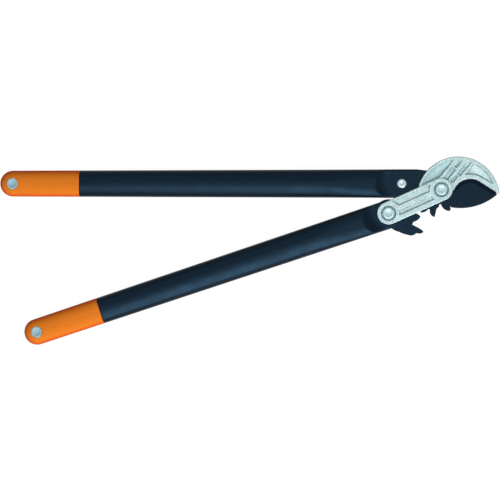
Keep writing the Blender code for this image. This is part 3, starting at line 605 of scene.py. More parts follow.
def make_upper_handle():
    """The fixed handle: an oval tube with a flat, forked head and an eye round the main pivot."""
    stations = tube_stations(upper_length)
    sides = np.concatenate([stations, np.arange(head_start + mm, upper_head_reach, 1.5 * mm)])
    tube = both_sides(sides, skin_half_width(sides, upper_length), 0.0)
    eye_place = main_pivot - rivet_place
    edge = fork_edge(0.0, 10.0 * mm, eye_radius - mm) - rivet_place
    corner = edge[-1]
    wide = 60 * mm
    far = 2 * wide
    outside = [corner + (-20.0 * mm, 2.5 * mm), (corner[0] - 20.0 * mm, wide), (far, wide),
               (far, -wide), (edge[0, 0], -wide)]
    trim = divided(np.concatenate([edge, outside]), 1.0 * mm)
    eye = circle(eye_place, eye_radius)
    rivet_hole = circle((0.0, 0.0), rivet_hole_radius, hole_spacing)
    pin_hole = circle(eye_place, pin_hole_radius, hole_spacing)
    slot_side = np.linspace(-20.0, 20.0, 41) * mm
    slot = [np.stack([np.full(41, x), slot_side], axis=1)
            for x in (fork_slot_start, fork_slot_start + step_width)]

    def plan(points):
        """Depth inside the tube's plan, clear of the trimmed part, inside the eye, and off holes."""
        clear = -depth_inside(points, trim)
        in_eye = circle_depth(points, eye_place, eye_radius)
        off_rivet = -circle_depth(points, (0.0, 0.0), rivet_hole_radius)
        off_pin = -circle_depth(points, eye_place, pin_hole_radius)
        return clear, in_eye, np.minimum(off_rivet, off_pin)

    def inside(points):
        """Where the moulding has material in plan."""
        clear, in_eye, off_holes = plan(points)
        x, y = points.T
        in_tube = (np.abs(y) < skin_half_width(x, upper_length)) & (clear > 0)
        return (in_tube | (in_eye > 0)) & (off_holes > 0)

    def top(points):
        """The tube's height, with the fork's cut edges broken."""
        clear, in_eye, off_holes = plan(points)
        edge_depth = np.maximum(clear, in_eye)
        height = np.where(in_eye > clear, fork_outer, tube_top(points, upper_length, 0.0))
        return np.minimum(height, fork_outer - round_over(edge_depth, 0.5 * mm)
                          + 100 * np.maximum(edge_depth - mm, 0.0))

    def bottom(points):
        """The tube's bore, and the fork's slot beyond its root."""
        bore = tube_bottom(points, upper_length, 0.0, upper_hollow_end)
        past_root = np.clip((points[:, 0] - fork_slot_start) / step_width, 0.0, 1.0)
        return np.maximum(bore, fork_inner * past_root)

    edge_rows = rings(trim[::-1], (-0.1 * mm, -0.3 * mm, -0.5 * mm, -0.8 * mm))
    eye_rows = rings(eye, (0.1 * mm, 0.3 * mm, 0.5 * mm, 1.0 * mm))
    x, y = edge_rows.T
    near = (x > -40 * mm) & (x < 75 * mm) & (np.abs(y) < 20 * mm)
    side_rows = head_rows(head_start, upper_head_reach, upper_length, 0.0)
    kept = np.concatenate([side_rows, recess_arcs(upper_length, 0.0), edge_rows[near], eye_rows,
                           tube, eye] + slot)
    loose = away_from(grid((head_start, -20 * mm), (70 * mm, 20 * mm), head_spacing), kept, 0.6 * mm)
    x, y = loose.T
    loose = loose[np.abs(y) < tube_half_width(x, upper_length) - 1.2 * mm]
    fill = np.concatenate([tube_rows(stations, upper_length, 0.0), kept, loose])
    outlines = [tube, trim, eye, rivet_hole, pin_hole]
    return plate("upper_handle_moulding", outlines, fill, inside, top, bottom, to_upper)


# Gear

def tooth(angles, pitch, root, row):
    """Radius of a round-tipped tooth over its root: a rounded slope on each side of its tip."""
    middle, height, before, after, full_before, full_after = row
    first = angles < middle
    share = np.clip(np.abs(angles - middle) / np.where(first, before, after), 0.0, 1.0)
    power = np.where(first, full_before, full_after)
    return root + (pitch + height - root) * (1 - share ** power) ** (1 / power)


def sector_radii(angles):
    """The sector's radius at angles below the pivots' line, in degrees."""
    root = sector_pitch + sector_root
    radii = np.full(angles.shape, root)
    for row in sector_teeth:
        radii = np.maximum(radii, tooth(angles, sector_pitch, root, row))
    shoulder = sector_pitch + np.interp(angles, sector_shoulder[:, 0], sector_shoulder[:, 1] * mm)
    tooth_end = sector_teeth[-1][0] + sector_teeth[-1][3]
    radii = np.where(angles >= tooth_end, shoulder, radii)
    radii = np.where(angles >= sector_shoulder[0, 0], np.maximum(radii, shoulder), radii)
    back = sector_pitch + np.interp(angles, sector_back[:, 0], sector_back[:, 1] * mm)
    return np.where(angles < sector_back[-1, 0], np.minimum(radii, back), radii)


def blade_limit(angles):
    """How far the blade's tail may reach at each angle so that no turn brings it to the sector.

    The sector's outline is turned through its travel and the blade's turn is undone, so that each
    of its points draws its path on the blade. The nearest path at an angle is the limit.
    """
    fine = np.arange(sector_back[0, 0], sector_shoulder[-1, 0], 0.02)
    radii = sector_radii(fine)
    step = angles[1] - angles[0]
    limit = np.full(angles.shape, 2 * pivot_distance)
    for turn in np.linspace(0.0, handle_travel, 121):
        x = radii * np.cos(turn - np.radians(fine)) - pivot_distance
        y = radii * np.sin(turn - np.radians(fine))
        seen_from_blade = np.degrees(np.arctan2(y, x) + gear_ratio * turn) % 360 - 180
        places = np.round((seen_from_blade - angles[0]) / step).astype(int)
        near = (places >= 0) & (places < len(angles))
        np.minimum.at(limit, places[near], np.hypot(x, y)[near])
    beside = [np.roll(limit, shift) for shift in range(-3, 4)]
    return np.minimum.reduce(beside) - tooth_gap


def tail_outline():
    """Plan points of the blade's toothed tail, in the order of rising angle."""
    angles = np.arange(-30.0, 95.0, 0.25)
    deep = np.clip((angles - 46.0) / 10.0, 0.0, 1.0)
    floor = blade_pitch + blade_outer_gap + (blade_inner_gap - blade_outer_gap) * deep
    back = np.clip((angles + 30.0) / 22.0, 0.0, 1.0)
    floor = blade_hub_radius + (floor - blade_hub_radius) * np.sin(back * math.pi / 2)
    radii = floor.copy()
    for row in blade_teeth:
        radii = np.maximum(radii, tooth(angles, blade_pitch, floor, row))
    radii = np.minimum(radii, blade_limit(angles))[:, None]
    turns = math.pi + link_angle + np.radians(angles)
    return np.stack([np.cos(turns), np.sin(turns)], axis=1) * radii


def make_lower_handle():
    """The moving handle: the same tube, flattened to a round hub that carries the gear teeth."""
    stations = tube_stations(lower_length)
    head_stations = np.arange(head_start + mm, lower_head_reach, 1.5 * mm)
    sides = np.concatenate([stations, head_stations, [lower_head_reach]])
    tube = both_sides(sides, skin_half_width(sides, lower_length), lower_offset)
    hub = circle((0.0, 0.0), hub_radius)
    seat = circle((0.0, 0.0), seat_radius, hole_spacing)
    bore = circle((0.0, 0.0), bush_hole_radius, hole_spacing)
    angles = np.arange(sector_back[0, 0], sector_shoulder[-1, 0], 0.1)
    lean = link_angle - handle_spread
    rim = np.stack([np.cos(lean - np.radians(angles)), np.sin(lean - np.radians(angles))], axis=1)
    sector = softened(np.concatenate([rim * sector_radii(angles)[:, None], [(0.0, 0.0)]])[::-1], 0.5 * mm)

    def depths(points):
        """Depth inside the tube, the hub, the sector, the washer seat and the bore."""
        x, y = points.T
        beside = skin_half_width(x, lower_length) - np.abs(y - lower_offset)
        in_tube = np.minimum(beside, lower_head_reach - x)
        in_hub, in_seat, in_bore = (circle_depth(points, (0.0, 0.0), radius)
                                    for radius in (hub_radius, seat_radius, bush_hole_radius))
        return in_tube, in_hub, depth_inside(points, sector), in_seat, in_bore

    def inside(points):
        """Where the moulding has material in plan."""
        in_tube, in_hub, in_sector, _, in_bore = depths(points)
        return ((in_tube > 0) | (in_hub > 0) | (in_sector > 0)) & (in_bore < 0)

    def top(points):
        """The highest of tube, hub and sector, each with its edge broken, less the washer seat."""
        in_tube, in_hub, in_sector, in_seat, _ = depths(points)
        end_depth = lower_head_reach - points[:, 0]
        tube_height = tube_top(points, lower_length, lower_offset)
        tube_end = np.minimum(tube_height, fork_outer - round_over(end_depth, 0.5 * mm))
        tube_height = np.where(end_depth < mm, tube_end, tube_height)
        tube_height = np.where(in_tube > on_edge, tube_height, 0.0)
        hub_height = np.where(in_hub > on_edge, fork_outer - round_over(in_hub, 0.5 * mm), 0.0)
        sector_height = np.where(in_sector > on_edge, sector_half - round_over(in_sector, 0.7 * mm), 0.0)
        height = np.maximum(np.maximum(tube_height, hub_height), sector_height)
        return np.where(in_seat > -0.01 * mm, np.minimum(height, seat_level), height)

    def bottom(points):
        """The tube's bore."""
        return tube_bottom(points, lower_length, lower_offset, lower_hollow_end)

    sector_rows = rings(sector, (-0.05 * mm, 0.12 * mm, 0.3 * mm, 0.5 * mm, 0.7 * mm, 1.0 * mm))
    hub_rows = rings(hub, (-0.05 * mm, 0.1 * mm, 0.3 * mm, 0.5 * mm, 0.9 * mm))
    end_rows = np.stack(np.meshgrid(lower_head_reach - np.array((0.1, 0.3, 0.5, 0.9)) * mm,
                                    np.arange(-21.0, 18.0, 0.8) * mm), axis=-1).reshape(-1, 2)
    seat_rows = rings(seat, (-0.06 * mm, 0.5 * mm))
    side_rows = head_rows(head_start, lower_head_reach, lower_length, lower_offset)
    kept = np.concatenate([side_rows, recess_arcs(lower_length, lower_offset), sector_rows, hub_rows,
                           end_rows, seat_rows, seat, tube, sector])
    loose = away_from(grid((head_start, -40 * mm), (60 * mm, 30 * mm), head_spacing), kept, 0.6 * mm)
    fill = np.concatenate([tube_rows(stations, lower_length, lower_offset), kept, loose])
    outlines = [tube, hub, seat, sector, bore]
    return plate("lower_handle_moulding", outlines, fill, inside, top, bottom, to_lower)


def make_blade():
    """The blade: its edge follows the anvil's bay, ground from both sides, and its tail is toothed."""
    edge_radius = bay_radius - running_gap
    anvil_end = polar(bay_centre, edge_radius, bay_end)
    tip = far_crossing(anvil_end, bay_end - math.pi / 2, disc_centre, disc_radius - blade_nose_inset)
    straight = np.linspace(tip, anvil_end, 60)[:-1]
    curved = arc(bay_centre, edge_radius, bay_end, bay_start + math.radians(1.0))
    cutting = np.concatenate([straight, curved])
    tail_start = math.pi + link_angle - math.radians(33.0)
    hub = arc(main_pivot, blade_hub_radius, math.radians(25.0), tail_start)
    belly = arc_through(blade_throat, blade_belly, blade_tip)
    outline = softened(np.concatenate([cutting, hub, tail_outline(), belly]), 0.75 * mm)
    bore = circle(main_pivot, bush_hole_radius, hole_spacing)

    def inside(points):
        """Inside the outline and off the bore."""
        off_bore = circle_depth(points, main_pivot, bush_hole_radius) < 0
        return (depth_inside(points, outline) > 0) & off_bore

    def top(points):
        """Half the plate's thickness, less its broken edges and the slope ground to the edge."""
        depth = np.maximum(depth_inside(points, outline), 0.0)
        flat = blade_half - round_over(depth, 0.3 * mm)
        from_edge, _ = edge_distance(points, cutting, closed=False)
        from_ends = np.minimum(np.hypot(*(points - tip).T), np.hypot(*(points - cutting[-1]).T))
        bevel = bevel_width * np.clip(from_ends / bevel_width, 0.05, 1.0)
        ground = blade_half * from_edge / bevel
        return np.maximum(soft_least(flat, ground, 0.12 * mm), 0.08 * mm)

    edge_rows = rings(outline, (0.08 * mm, 0.2 * mm, 0.35 * mm, 0.6 * mm))
    bevel_rows = rings(cutting, np.array((1.5, 3.0, 4.5, 5.5, 5.8, 6.0, 6.2, 6.6)) * mm)
    kept = np.concatenate([edge_rows, bevel_rows, rings(bore, (-0.2 * mm, -0.6 * mm)), outline])
    loose = away_from(grid((-45 * mm, -45 * mm), (85 * mm, 20 * mm), plate_spacing), kept, 0.7 * mm)
    return plate("coated_blade", [outline, bore], np.concatenate([kept, loose]), inside, top,
                 lambda points: np.zeros(len(points)))


# Anvil head

def far_crossing(point, angle, centre, radius):
    """Where a ray from a point last crosses a circle."""
    offset = np.asarray(point) - centre
    ahead = np.array((math.cos(angle), math.sin(angle)))
    along = float(offset @ ahead)
    reach = math.sqrt(along * along - offset @ offset + radius * radius) - along
    return np.asarray(point) + ahead * reach


def arc_through(start, middle, end, steps=120):
    """Points along the circle through three points: its centre is level with both chords' middles."""
    chords = np.array((middle - start, end - middle))
    halves = np.array((chords[0] @ (start + middle), chords[1] @ (middle + end))) / 2
    centre = np.linalg.solve(chords, halves)
    first = math.atan2(*(start - centre)[::-1])
    last = math.atan2(*(end - centre)[::-1])
    turn = (last - first + math.pi) % (2 * math.pi) - math.pi
    return polar(centre, np.hypot(*(start - centre)), first + turn * np.linspace(0.0, 1.0, steps))


def rib_point(along, across):
    """A point given along the ribs from the main pivot, and across them to the upper side."""
    c = math.cos(rib_angle)
    s = math.sin(rib_angle)
    return np.array((along * c - across * s, along * s + across * c))


def channel(right, left, start, end):
    """A pocket between two ribs, from a start to an end or, without one, to the disc's rim."""
    near = [rib_point(start, left), rib_point(start, right)]
    if end is not None:
        return near + [rib_point(end, right), rib_point(end, left)]
    inner_rim = disc_radius - rim_width
    return near + [far_crossing(rib_point(0.0, side), rib_angle, disc_centre, inner_rim)
                   for side in (right, left)]


def direction_from(centre, point):
    """The angle at which a point is seen from a centre."""
    return math.atan2(point[1] - centre[1], point[0] - centre[0])


def fan_pocket():
    """The big pocket left of the ribs: between the link arm, the first rib and the rim."""
    inner_rim = disc_radius - fan_rim_width
    above_link = link_half_width + 1.0 * mm
    top = far_crossing(rib_point(0.0, fan_side), rib_angle, disc_centre, inner_rim)
    left = far_crossing(link_point(0.9 * pivot_distance, above_link), link_angle + math.pi,
                        disc_centre, inner_rim)
    turn = rib_angle - link_angle
    corner = rib_point((above_link - fan_side * math.cos(turn)) / math.sin(turn), fan_side)
    first, last = (direction_from(disc_centre, end) for end in (top, left))
    return [corner] + list(arc(disc_centre, inner_rim, first, last, 3 * mm))


def crescent_pocket():
    """The long pocket between the rim and the anvil's flange, right of the last rib."""
    inner_rim = disc_radius - rim_width
    side = rib_point(0.0, crescent_side)
    top = far_crossing(side, rib_angle, disc_centre, inner_rim)
    flange = bay_radius + flange_width
    low = far_crossing(side, rib_angle, bay_centre, flange)
    flange_end = polar(bay_centre, flange, bay_end)
    tip = far_crossing(flange_end, bay_end - math.pi / 2, disc_centre, inner_rim - 1.0 * mm)
    inner = arc(bay_centre, flange, direction_from(bay_centre, low), bay_end, 3 * mm)
    first, last = (direction_from(disc_centre, end) for end in (tip, top))
    return list(inner) + list(arc(disc_centre, inner_rim, first, last, 3 * mm))


def link_pocket(low, high, from_gear):
    """A pocket along the link arm, with round ends about the two pivots."""
    from_main = link_pocket_from_main
    start = np.linspace(math.asin(high / from_gear), math.asin(low / from_gear), 7)
    end = math.pi - np.linspace(math.asin(low / from_main), math.asin(high / from_main), 7)
    gear_end = polar((0.0, 0.0), from_gear, start)
    main_end = polar((pivot_distance, 0.0), from_main, end)
    return [link_point(along, across) for along, across in np.concatenate([gear_end, main_end])]


def anticlockwise(outline):
    """The outline, turned round if its area counts as negative."""
    x, y = np.asarray(outline).T
    area = (x * np.roll(y, -1) - y * np.roll(x, -1)).sum()
    return np.asarray(outline) if area > 0 else np.asarray(outline)[::-1]


def make_casting():
    """The head casting: a ribbed disc with the anvil's bay, and the link arm, slotted for the blade."""
    far = 2 * pivot_distance
    bay_edge = arc(bay_centre, bay_radius, bay_start, bay_end)
    past_tip = polar(bay_edge[-1], far, bay_end - math.pi / 2)
    behind = link_point(-far, 0.0)
    foot = polar(main_pivot, link_half_width - running_gap, bay_foot)
    beyond = [past_tip, (far, -far), (behind[0], -far), behind]
    bay = np.concatenate([[main_pivot, foot], bay_edge, beyond])
    bay = anticlockwise(divided(bay, 1.0 * mm))
    disc = circle(disc_centre, disc_radius)
    upright = math.pi / 2
    gear_end = arc(gear_pivot, link_half_width, link_angle + upright, link_angle + 3 * upright)
    main_end = arc(main_pivot, link_half_width, link_angle - upright, link_angle + upright)
    link = divided(np.concatenate([gear_end, main_end]))

    wide = [fan_pocket(), crescent_pocket()] + [channel(*sides_and_ends) for sides_and_ends in rib_pockets]
    pockets = [divided(anticlockwise(rounded(outline, pocket_corner))) for outline in wide]
    hollows = [divided(anticlockwise(rounded(link_pocket(*sides_and_end), link_pocket_corner)))
               for sides_and_end in link_pockets]

    slot_edge = arc(main_pivot, blade_room, bay_foot / 2, web_angle, 1.5 * mm)
    slot_far = [polar(main_pivot, far, web_angle), (-far, far), (-far, -far), (0.0, -far)]
    slot = divided(np.concatenate([slot_edge, slot_far]), 1.5 * mm)
    hub_room_radius = math.hypot(lower_head_reach, handle_half_width - lower_offset) + head_room
    hub_room = circle(gear_pivot, hub_room_radius, 1.5 * mm)
    fork_room = fork_edge(head_room, -10.0 * mm, eye_radius + head_room)
    room_end = [(-far, fork_room[-1, 1] + 2.0 * mm), (-far, fork_room[0, 1])]
    fork_room = np.concatenate([fork_room, room_end])
    fork_room = anticlockwise(divided(fork_room, 1.5 * mm))
    pin_holes = [circle(pivot, pin_hole_radius, hole_spacing) for pivot in (main_pivot, gear_pivot)]
    bores = [circle(pivot, counterbore_radius) for pivot in (main_pivot, gear_pivot)]

    def disc_depth(points):
        """Depth inside the disc and clear of the bay."""
        return np.minimum(circle_depth(points, disc_centre, disc_radius), -depth_inside(points, bay))

    def link_depth(points):
        """Depth inside the link arm."""
        return depth_inside(points, link)

    def pivot_depth(points, radius):
        """Depth inside a circle round the nearer pivot."""
        return np.maximum(circle_depth(points, main_pivot, radius),
                          circle_depth(points, gear_pivot, radius))

    def inside(points):
        """Where the casting has material in plan."""
        off_pins = pivot_depth(points, pin_hole_radius) < 0
        return ((disc_depth(points) > 0) | (link_depth(points) > 0)) & off_pins

    def sunk(points, outlines):
        """How far down the walls of these pockets each point is, from nought to one."""
        depth = np.maximum.reduce([depth_inside(points, outline) for outline in outlines])
        return smooth((depth + pocket_lip) / (pocket_wall + pocket_lip))

    def dished(points):
        """How deep the disc's pockets are: less near the rim, where their floors curve up to it."""
        from_rim = circle_depth(points, disc_centre, disc_radius - rim_width)
        return 0.45 + 0.55 * smooth(from_rim / (9.0 * mm))

    def top(points):
        """The disc less its pockets, the link arm over it, then the arm's pockets and pin seats."""
        disc_edge = disc_depth(points)
        disc_height = disc_top - round_over(disc_edge, 1.2 * mm)
        disc_height -= pocket_depth * dished(points) * sunk(points, pockets)
        disc_height = np.where(disc_edge > on_edge, disc_height, 0.0)
        link_edge = link_depth(points)
        link_height = np.where(link_edge > on_edge, link_top - round_over(link_edge, 0.9 * mm), 0.0)
        height = np.maximum(disc_height, link_height) - link_pocket_depth * sunk(points, hollows)
        seat = mid_height - pin_head_depth - running_gap
        in_bore = pivot_depth(points, counterbore_radius)
        return height - (link_top - seat) * smooth((in_bore + pocket_lip) / (0.6 * mm + pocket_lip))

    def bottom(points):
        """Half the slot's width, and more round the hub and the fork."""
        in_slot = np.clip(depth_inside(points, slot) / step_width, 0.0, 1.0)
        in_hub = circle_depth(points, gear_pivot, hub_room_radius)
        in_room = np.maximum(in_hub, depth_inside(points, fork_room))
        return np.maximum(slot_half * in_slot, cheek_inner * np.clip(in_room / step_width, 0.0, 1.0))

    def corner(places):
        """Painted shade, with some dirt: most at the foot of a wall, round a pin's head and beside the
        link arm.
        """
        points = places[:, :2]
        deep = np.maximum.reduce([depth_inside(points, outline) for outline in pockets + hollows])
        foot = np.exp(-((deep - 1.1 * mm) / (0.8 * mm)) ** 2)
        in_bore = pivot_depth(points, counterbore_radius)
        beside = link_depth(points) + 0.5 * mm
        ledge = np.where(beside < 0.5 * mm, np.exp(-(beside / (0.7 * mm)) ** 2), 0.0)
        return np.maximum.reduce([0.5 * foot, smooth(in_bore / (0.7 * mm)), 0.8 * ledge])

    def floor(places):
        """How much painted shade darkens each point: all of it on the wide pocket's floor, and half on
        those between the ribs.
        """
        points = places[:, :2]
        return np.maximum(sunk(points, pockets[:1]), 0.5 * sunk(points, pockets[2:]))

    edge_insets = np.array((0.08, 0.25, 0.5, 0.85, 1.2, 1.6)) * mm
    wall_insets = np.array((-0.9, -0.5, -0.35, -0.1, 0.15, 0.4, 0.7, 1.0, 1.3, 1.7, 2.2)) * mm
    bore_insets = np.array((-0.5, -0.35, -0.1, 0.2, 0.45, 0.6, 0.8)) * mm
    kept = [rings(disc, edge_insets), rings(bay, -edge_insets), rings(link, edge_insets)]
    kept += [rings(outline, wall_insets) for outline in pockets + hollows]
    kept += [rings(outline, bore_insets) for outline in bores]
    kept += [rings(outline, (0.0, step_width)) for outline in (slot, hub_room, fork_room)]
    kept = thinned(np.concatenate(kept), 0.12 * mm)
    outer = np.maximum(circle_depth(kept, disc_centre, disc_radius), link_depth(kept))
    kept = kept[outer > -0.1 * mm]
    loose = away_from(grid((-92 * mm, -52 * mm), (82 * mm, 48 * mm), plate_spacing), kept, 0.7 * mm)
    loose = loose[np.maximum(disc_depth(loose), link_depth(loose)) > 0.5 * mm]
    piece = plate("anvil_head_casting", [disc, bay, link] + pin_holes, np.concatenate([kept, loose]),
                  inside, top, bottom)
    # Both marks carry painted shade: corner at the feet of walls, round the pin heads and beside the link
    # arm, floor on the pocket floors.
    return mark(mark(piece, "corner", corner), "floor", floor)


# Grips

def make_grip(name, length, offset, place):
    """A handle's orange end: an oval cap with a deep socket, a full round end and a plug hole."""
    mouth = -length - running_gap
    tip = -length - grip_length
    centre = tip + handle_end_half_width
    socket_end = tip + grip_solid_end
    half_turn = (math.pi / 2, 3 * math.pi / 2)
    stations = np.concatenate([np.linspace(centre, mouth - 3 * mm, 26),
                               mouth - np.array((2.0, 1.5, 1.1, 0.8, 0.5, 0.3, 0.15, 0.05, 0.0)) * mm])
    half_width = tube_half_width(stations, length)
    end = polar((centre, offset), half_width[0], np.linspace(*half_turn, 60)[1:-1])
    outline = np.concatenate([both_sides(stations, half_width, offset), end])
    plug_place = np.array((tip + plug_inset, offset))
    hole_radius = plug_radius + running_gap
    hole = circle(plug_place, hole_radius)

    def share(points):
        """How far out each point is in the grip's plan, from nought on its middle to one."""
        x = points[:, 0]
        y = points[:, 1] - offset
        beyond = np.minimum(x - centre, 0.0)
        return np.hypot(beyond / half_width[0], y / tube_half_width(x, length))

    def inside(points):
        """Inside the plan's round end and sides, and off the plug's hole."""
        off_hole = -circle_depth(points, plug_place, hole_radius)
        return (share(points) < 1.0) & (points[:, 0] < mouth) & (off_hole > 0)

    def top(points):
        """The oval section, carried round the end, with the mouth's and the hole's edges broken."""
        oval = oval_height(share(points), 1.0, handle_half_depth, handle_oval_power)
        off_hole = -circle_depth(points, plug_place, hole_radius)
        lip = round_over(mouth - points[:, 0], 1.2 * mm)
        return np.maximum(oval * (1 - lip / handle_half_depth) - round_over(off_hole, 0.5 * mm), 0.0)

    def bottom(points):
        """The socket for the handle's spigot."""
        x, y = points.T
        inner_width = tube_half_width(x, length) - grip_wall
        bore = oval_height(y - offset, inner_width, handle_half_depth - grip_wall, handle_oval_power)
        return bore * np.clip((x - socket_end) / step_width, 0.0, 1.0)

    rows = rows_across(stations, offset + oval_steps(handle_oval_power) * half_width[:, None])
    out = np.cos(np.linspace(0.0, math.pi / 2, 33)[1:-1]) ** (2 / handle_oval_power) * half_width[0]
    end_rows = np.concatenate([polar((centre, offset), r, np.linspace(*half_turn, 60)) for r in out])
    fill = np.concatenate([rows, end_rows])
    near_hole = rings(hole, (-0.1 * mm, -0.25 * mm, -0.5 * mm, -0.9 * mm))
    fill = fill[circle_depth(fill, plug_place, plug_radius + 1.6 * mm) < 0]
    inner = half_width - grip_wall
    walls = np.array((-1.0, -0.98, -0.9, 0.9, 0.98, 1.0))
    socket = rows_across(stations, offset + walls * inner[:, None])
    socket = socket[socket[:, 0] > socket_end]
    root = np.stack(np.meshgrid((socket_end, socket_end + step_width), np.arange(-15, 16) * mm + offset),
                    axis=-1).reshape(-1, 2)
    fill = np.concatenate([fill, near_hole, root, socket])
    return plate(name, [outline, hole], fill, inside, top, bottom, place)


# Pins, rivet and plugs

def drops(height, rows):
    """Profile points from pairs of a radius and a drop below this height, both in millimetres."""
    return [(radius * mm, height - drop * mm) for radius, drop in rows]


def at_back(profile):
    """The same profile on the back, from its outside to its middle."""
    return [(radius, -height) for radius, height in reversed(profile)]


def make_pin(name, pivot):
    """A flush pivot pin: a flat head with a shallow turned dish, and a straight shank."""
    outer = mid_height
    seat = outer - pin_head_depth
    tail = pin_tail - outer
    dish = drops(outer, ((0.0, 0.35), (3.2, 0.35), (4.4, 0.18), (5.2, 0.02), (5.6, 0.0), (7.3, 0.0),
                         (7.65, 0.1), (7.9, 0.35)))
    side = [(pin_head_radius, outer - 0.7 * mm), (pin_head_radius, seat)]
    shank = [(pin_shank_radius, seat), (pin_shank_radius, tail + 0.4 * mm), (4.6 * mm, tail), (0.0, tail)]
    return turned(name, dish + side + shank, pivot)


def make_nut(name, pivot):
    """The blind nut on a pin's end: a round cap with a shallow dish at the back."""
    outer = mid_height
    seat = outer - pin_head_depth
    floor = pin_tail - outer - running_gap
    bore = pin_shank_radius + running_gap / 2
    hollow = [(0.0, floor), (bore, floor), (bore, -seat)]
    side = [(pin_head_radius, -seat), (pin_head_radius, 0.7 * mm - outer)]
    back = drops(outer, ((0.0, 0.12), (5.0, 0.12), (5.6, 0.0), (7.3, 0.0), (7.65, 0.1), (7.9, 0.35)))
    return turned(name, hollow + side + at_back(back), pivot)


def make_rivet(name):
    """The handle's rivet: a low domed head with a round dish struck in its middle."""
    under = fork_outer + running_gap
    rise = rivet_head_height
    tail = -under - rise / 2
    dome = drops(under + rise, ((0.0, 1.15), (0.9, 1.1), (1.7, 0.92), (2.4, 0.62), (2.9, 0.3),
                                (3.2, 0.08), (3.6, 0.0), (4.4, 0.08), (5.1, 0.35), (5.8, 0.8),
                                (6.25, 1.35), (6.5, 1.95)))
    shank = [(rivet_shank_radius, under), (rivet_shank_radius, tail), (0.0, tail)]
    return turned(name, dome + [(rivet_head_radius, under)] + shank, rivet_place)


def make_rivet_cap(name):
    """The cap that closes the rivet at the back."""
    under = fork_outer + running_gap
    rise = rivet_head_height
    floor = -under - rise / 2 - running_gap
    bore = rivet_bore_radius
    dome = drops(under + rise, ((0.0, 0.0), (3.4, 0.0), (4.3, 0.08), (5.1, 0.35), (5.8, 0.8),
                                (6.25, 1.35), (6.5, 1.95)))
    hollow = [(0.0, floor), (bore, floor), (bore, -under)]
    return turned(name, hollow + [(rivet_head_radius, -under)] + at_back(dome), rivet_place)


def make_plug(name, place):
    """The round plug in a grip's end: a dished face inside a raised ring, alike on both sides."""
    half = handle_half_depth - 0.6 * mm
    face = drops(half, ((0.0, 1.3), (1.5, 1.25), (3.0, 1.0), (4.3, 0.6), (5.3, 0.18), (5.8, 0.03),
                        (6.2, 0.0), (7.0, 0.0), (7.4, 0.12), (7.6, 0.4)))
    return turned(name, face + at_back(face), place)


# Finishes

def colour(code):
    """An sRGB hex colour in linear light, by the standard curve: a straight foot, then a power."""
    parts = [int(code[i:i + 2], 16) / 255 for i in (1, 3, 5)]
    return tuple(c / 12.92 if c <= 0.04045 else ((c + 0.055) / 1.055) ** 2.4 for c in parts) + (1.0,)


def feed(tree, node, inputs):
    """Set a node's inputs, or link them where the value is another node's output."""
    for socket, value in dict(inputs).items():
        if isinstance(value, bpy.types.NodeSocket):
            tree.links.new(value, node.inputs[socket])
        else:
            node.inputs[socket].default_value = value


def add(tree, kind, inputs=(), **settings):
    """Add a node: the settings are its own fields, and the inputs set sockets or link to them."""
    made = tree.nodes.new(kind)
    for field, value in settings.items():
        setattr(made, field, value)
    feed(tree, made, inputs)
    return made


def noise(tree, place, size, detail, roughness=0.5):
    """Noise in clouds of this size."""
    return add(tree, "ShaderNodeTexNoise", {"Vector": place, "Scale": 1 / size, "Detail": detail,
                                            "Roughness": roughness}).outputs["Fac"]


def stretched(tree, value, low, high, first=0.0, last=1.0):
    """A value's run from low to high stretched to run from first to last, and held at both ends."""
    return add(tree, "ShaderNodeMapRange", {"Value": value, "From Min": low, "From Max": high,
                                            "To Min": first, "To Max": last}).outputs[0]


def product(tree, first, second):
    """Two values multiplied."""
    return add(tree, "ShaderNodeMath", {0: first, 1: second}, operation="MULTIPLY").outputs[0]


def between(tree, share, first, second):
    """The colour this share of the way from the first to the second."""
    return add(tree, "ShaderNodeMix", {"Factor": share, "A": first, "B": second},
               data_type="RGBA").outputs[2]


def marked(tree, attribute):
    """How strongly the mesh is marked by this attribute."""
    return add(tree, "ShaderNodeAttribute", attribute_name=attribute).outputs["Fac"]


def relief(tree, height, strength, distance):
    """A fine relief that only the light sees."""
    return add(tree, "ShaderNodeBump", {"Height": height, "Strength": strength,
                                        "Distance": distance}).outputs[0]


def new_finish(name):
    """A new material: its tree, its shader and the object's own coordinates."""
    made = bpy.data.materials.new(name)
    made.use_nodes = True
    tree = made.node_tree
    return made, tree, tree.nodes["Principled BSDF"], add(tree, "ShaderNodeTexCoord").outputs["Object"]


def moulded_nylon(name, base, light, roughness, wear, gloss=0.35, tint="#FFFFFF", flank=None):
    """Nylon moulded in a spark-eroded tool: satin, faintly mottled, and rubbed along its edges.

    The mottle is 12 mm clouds of flow in the moulding. The tool's grain is 0.15 mm, drawn at
    0.7 mm so that it shows. The rubbed edges are found by how sharply the surface turns. Where the
    surface stands steep, which the steep attribute marks, the skin takes the flank colour: painted
    shade on the sides.
    """
    made, tree, shader, place = new_finish(name)
    skin = between(tree, noise(tree, place, 12 * mm, 3.0), colour(base), colour(light))
    turn = add(tree, "ShaderNodeNewGeometry").outputs["Pointiness"]
    patches = stretched(tree, noise(tree, place, 3 * mm, 4.0), 0.42, 0.62)
    rubbed = product(tree, stretched(tree, turn, 0.53, 0.60), patches)
    skin = between(tree, product(tree, rubbed, 0.5), skin, colour(wear))
    # Painted shade: the steep sides take the darker flank colour.
    if flank is not None:
        skin = between(tree, marked(tree, "steep"), skin, colour(flank))
    smudge = noise(tree, place, 30 * mm, 5.0, 0.6)
    feed(tree, shader, {
        "Specular IOR Level": gloss,
        "Specular Tint": colour(tint),
        "Base Color": skin,
        "Roughness": stretched(tree, smudge, 0.3, 0.7, roughness - 0.05, roughness + 0.07),
        "Normal": relief(tree, noise(tree, place, 0.7 * mm, 2.0), 0.2, 0.06 * mm),
    })
    return made


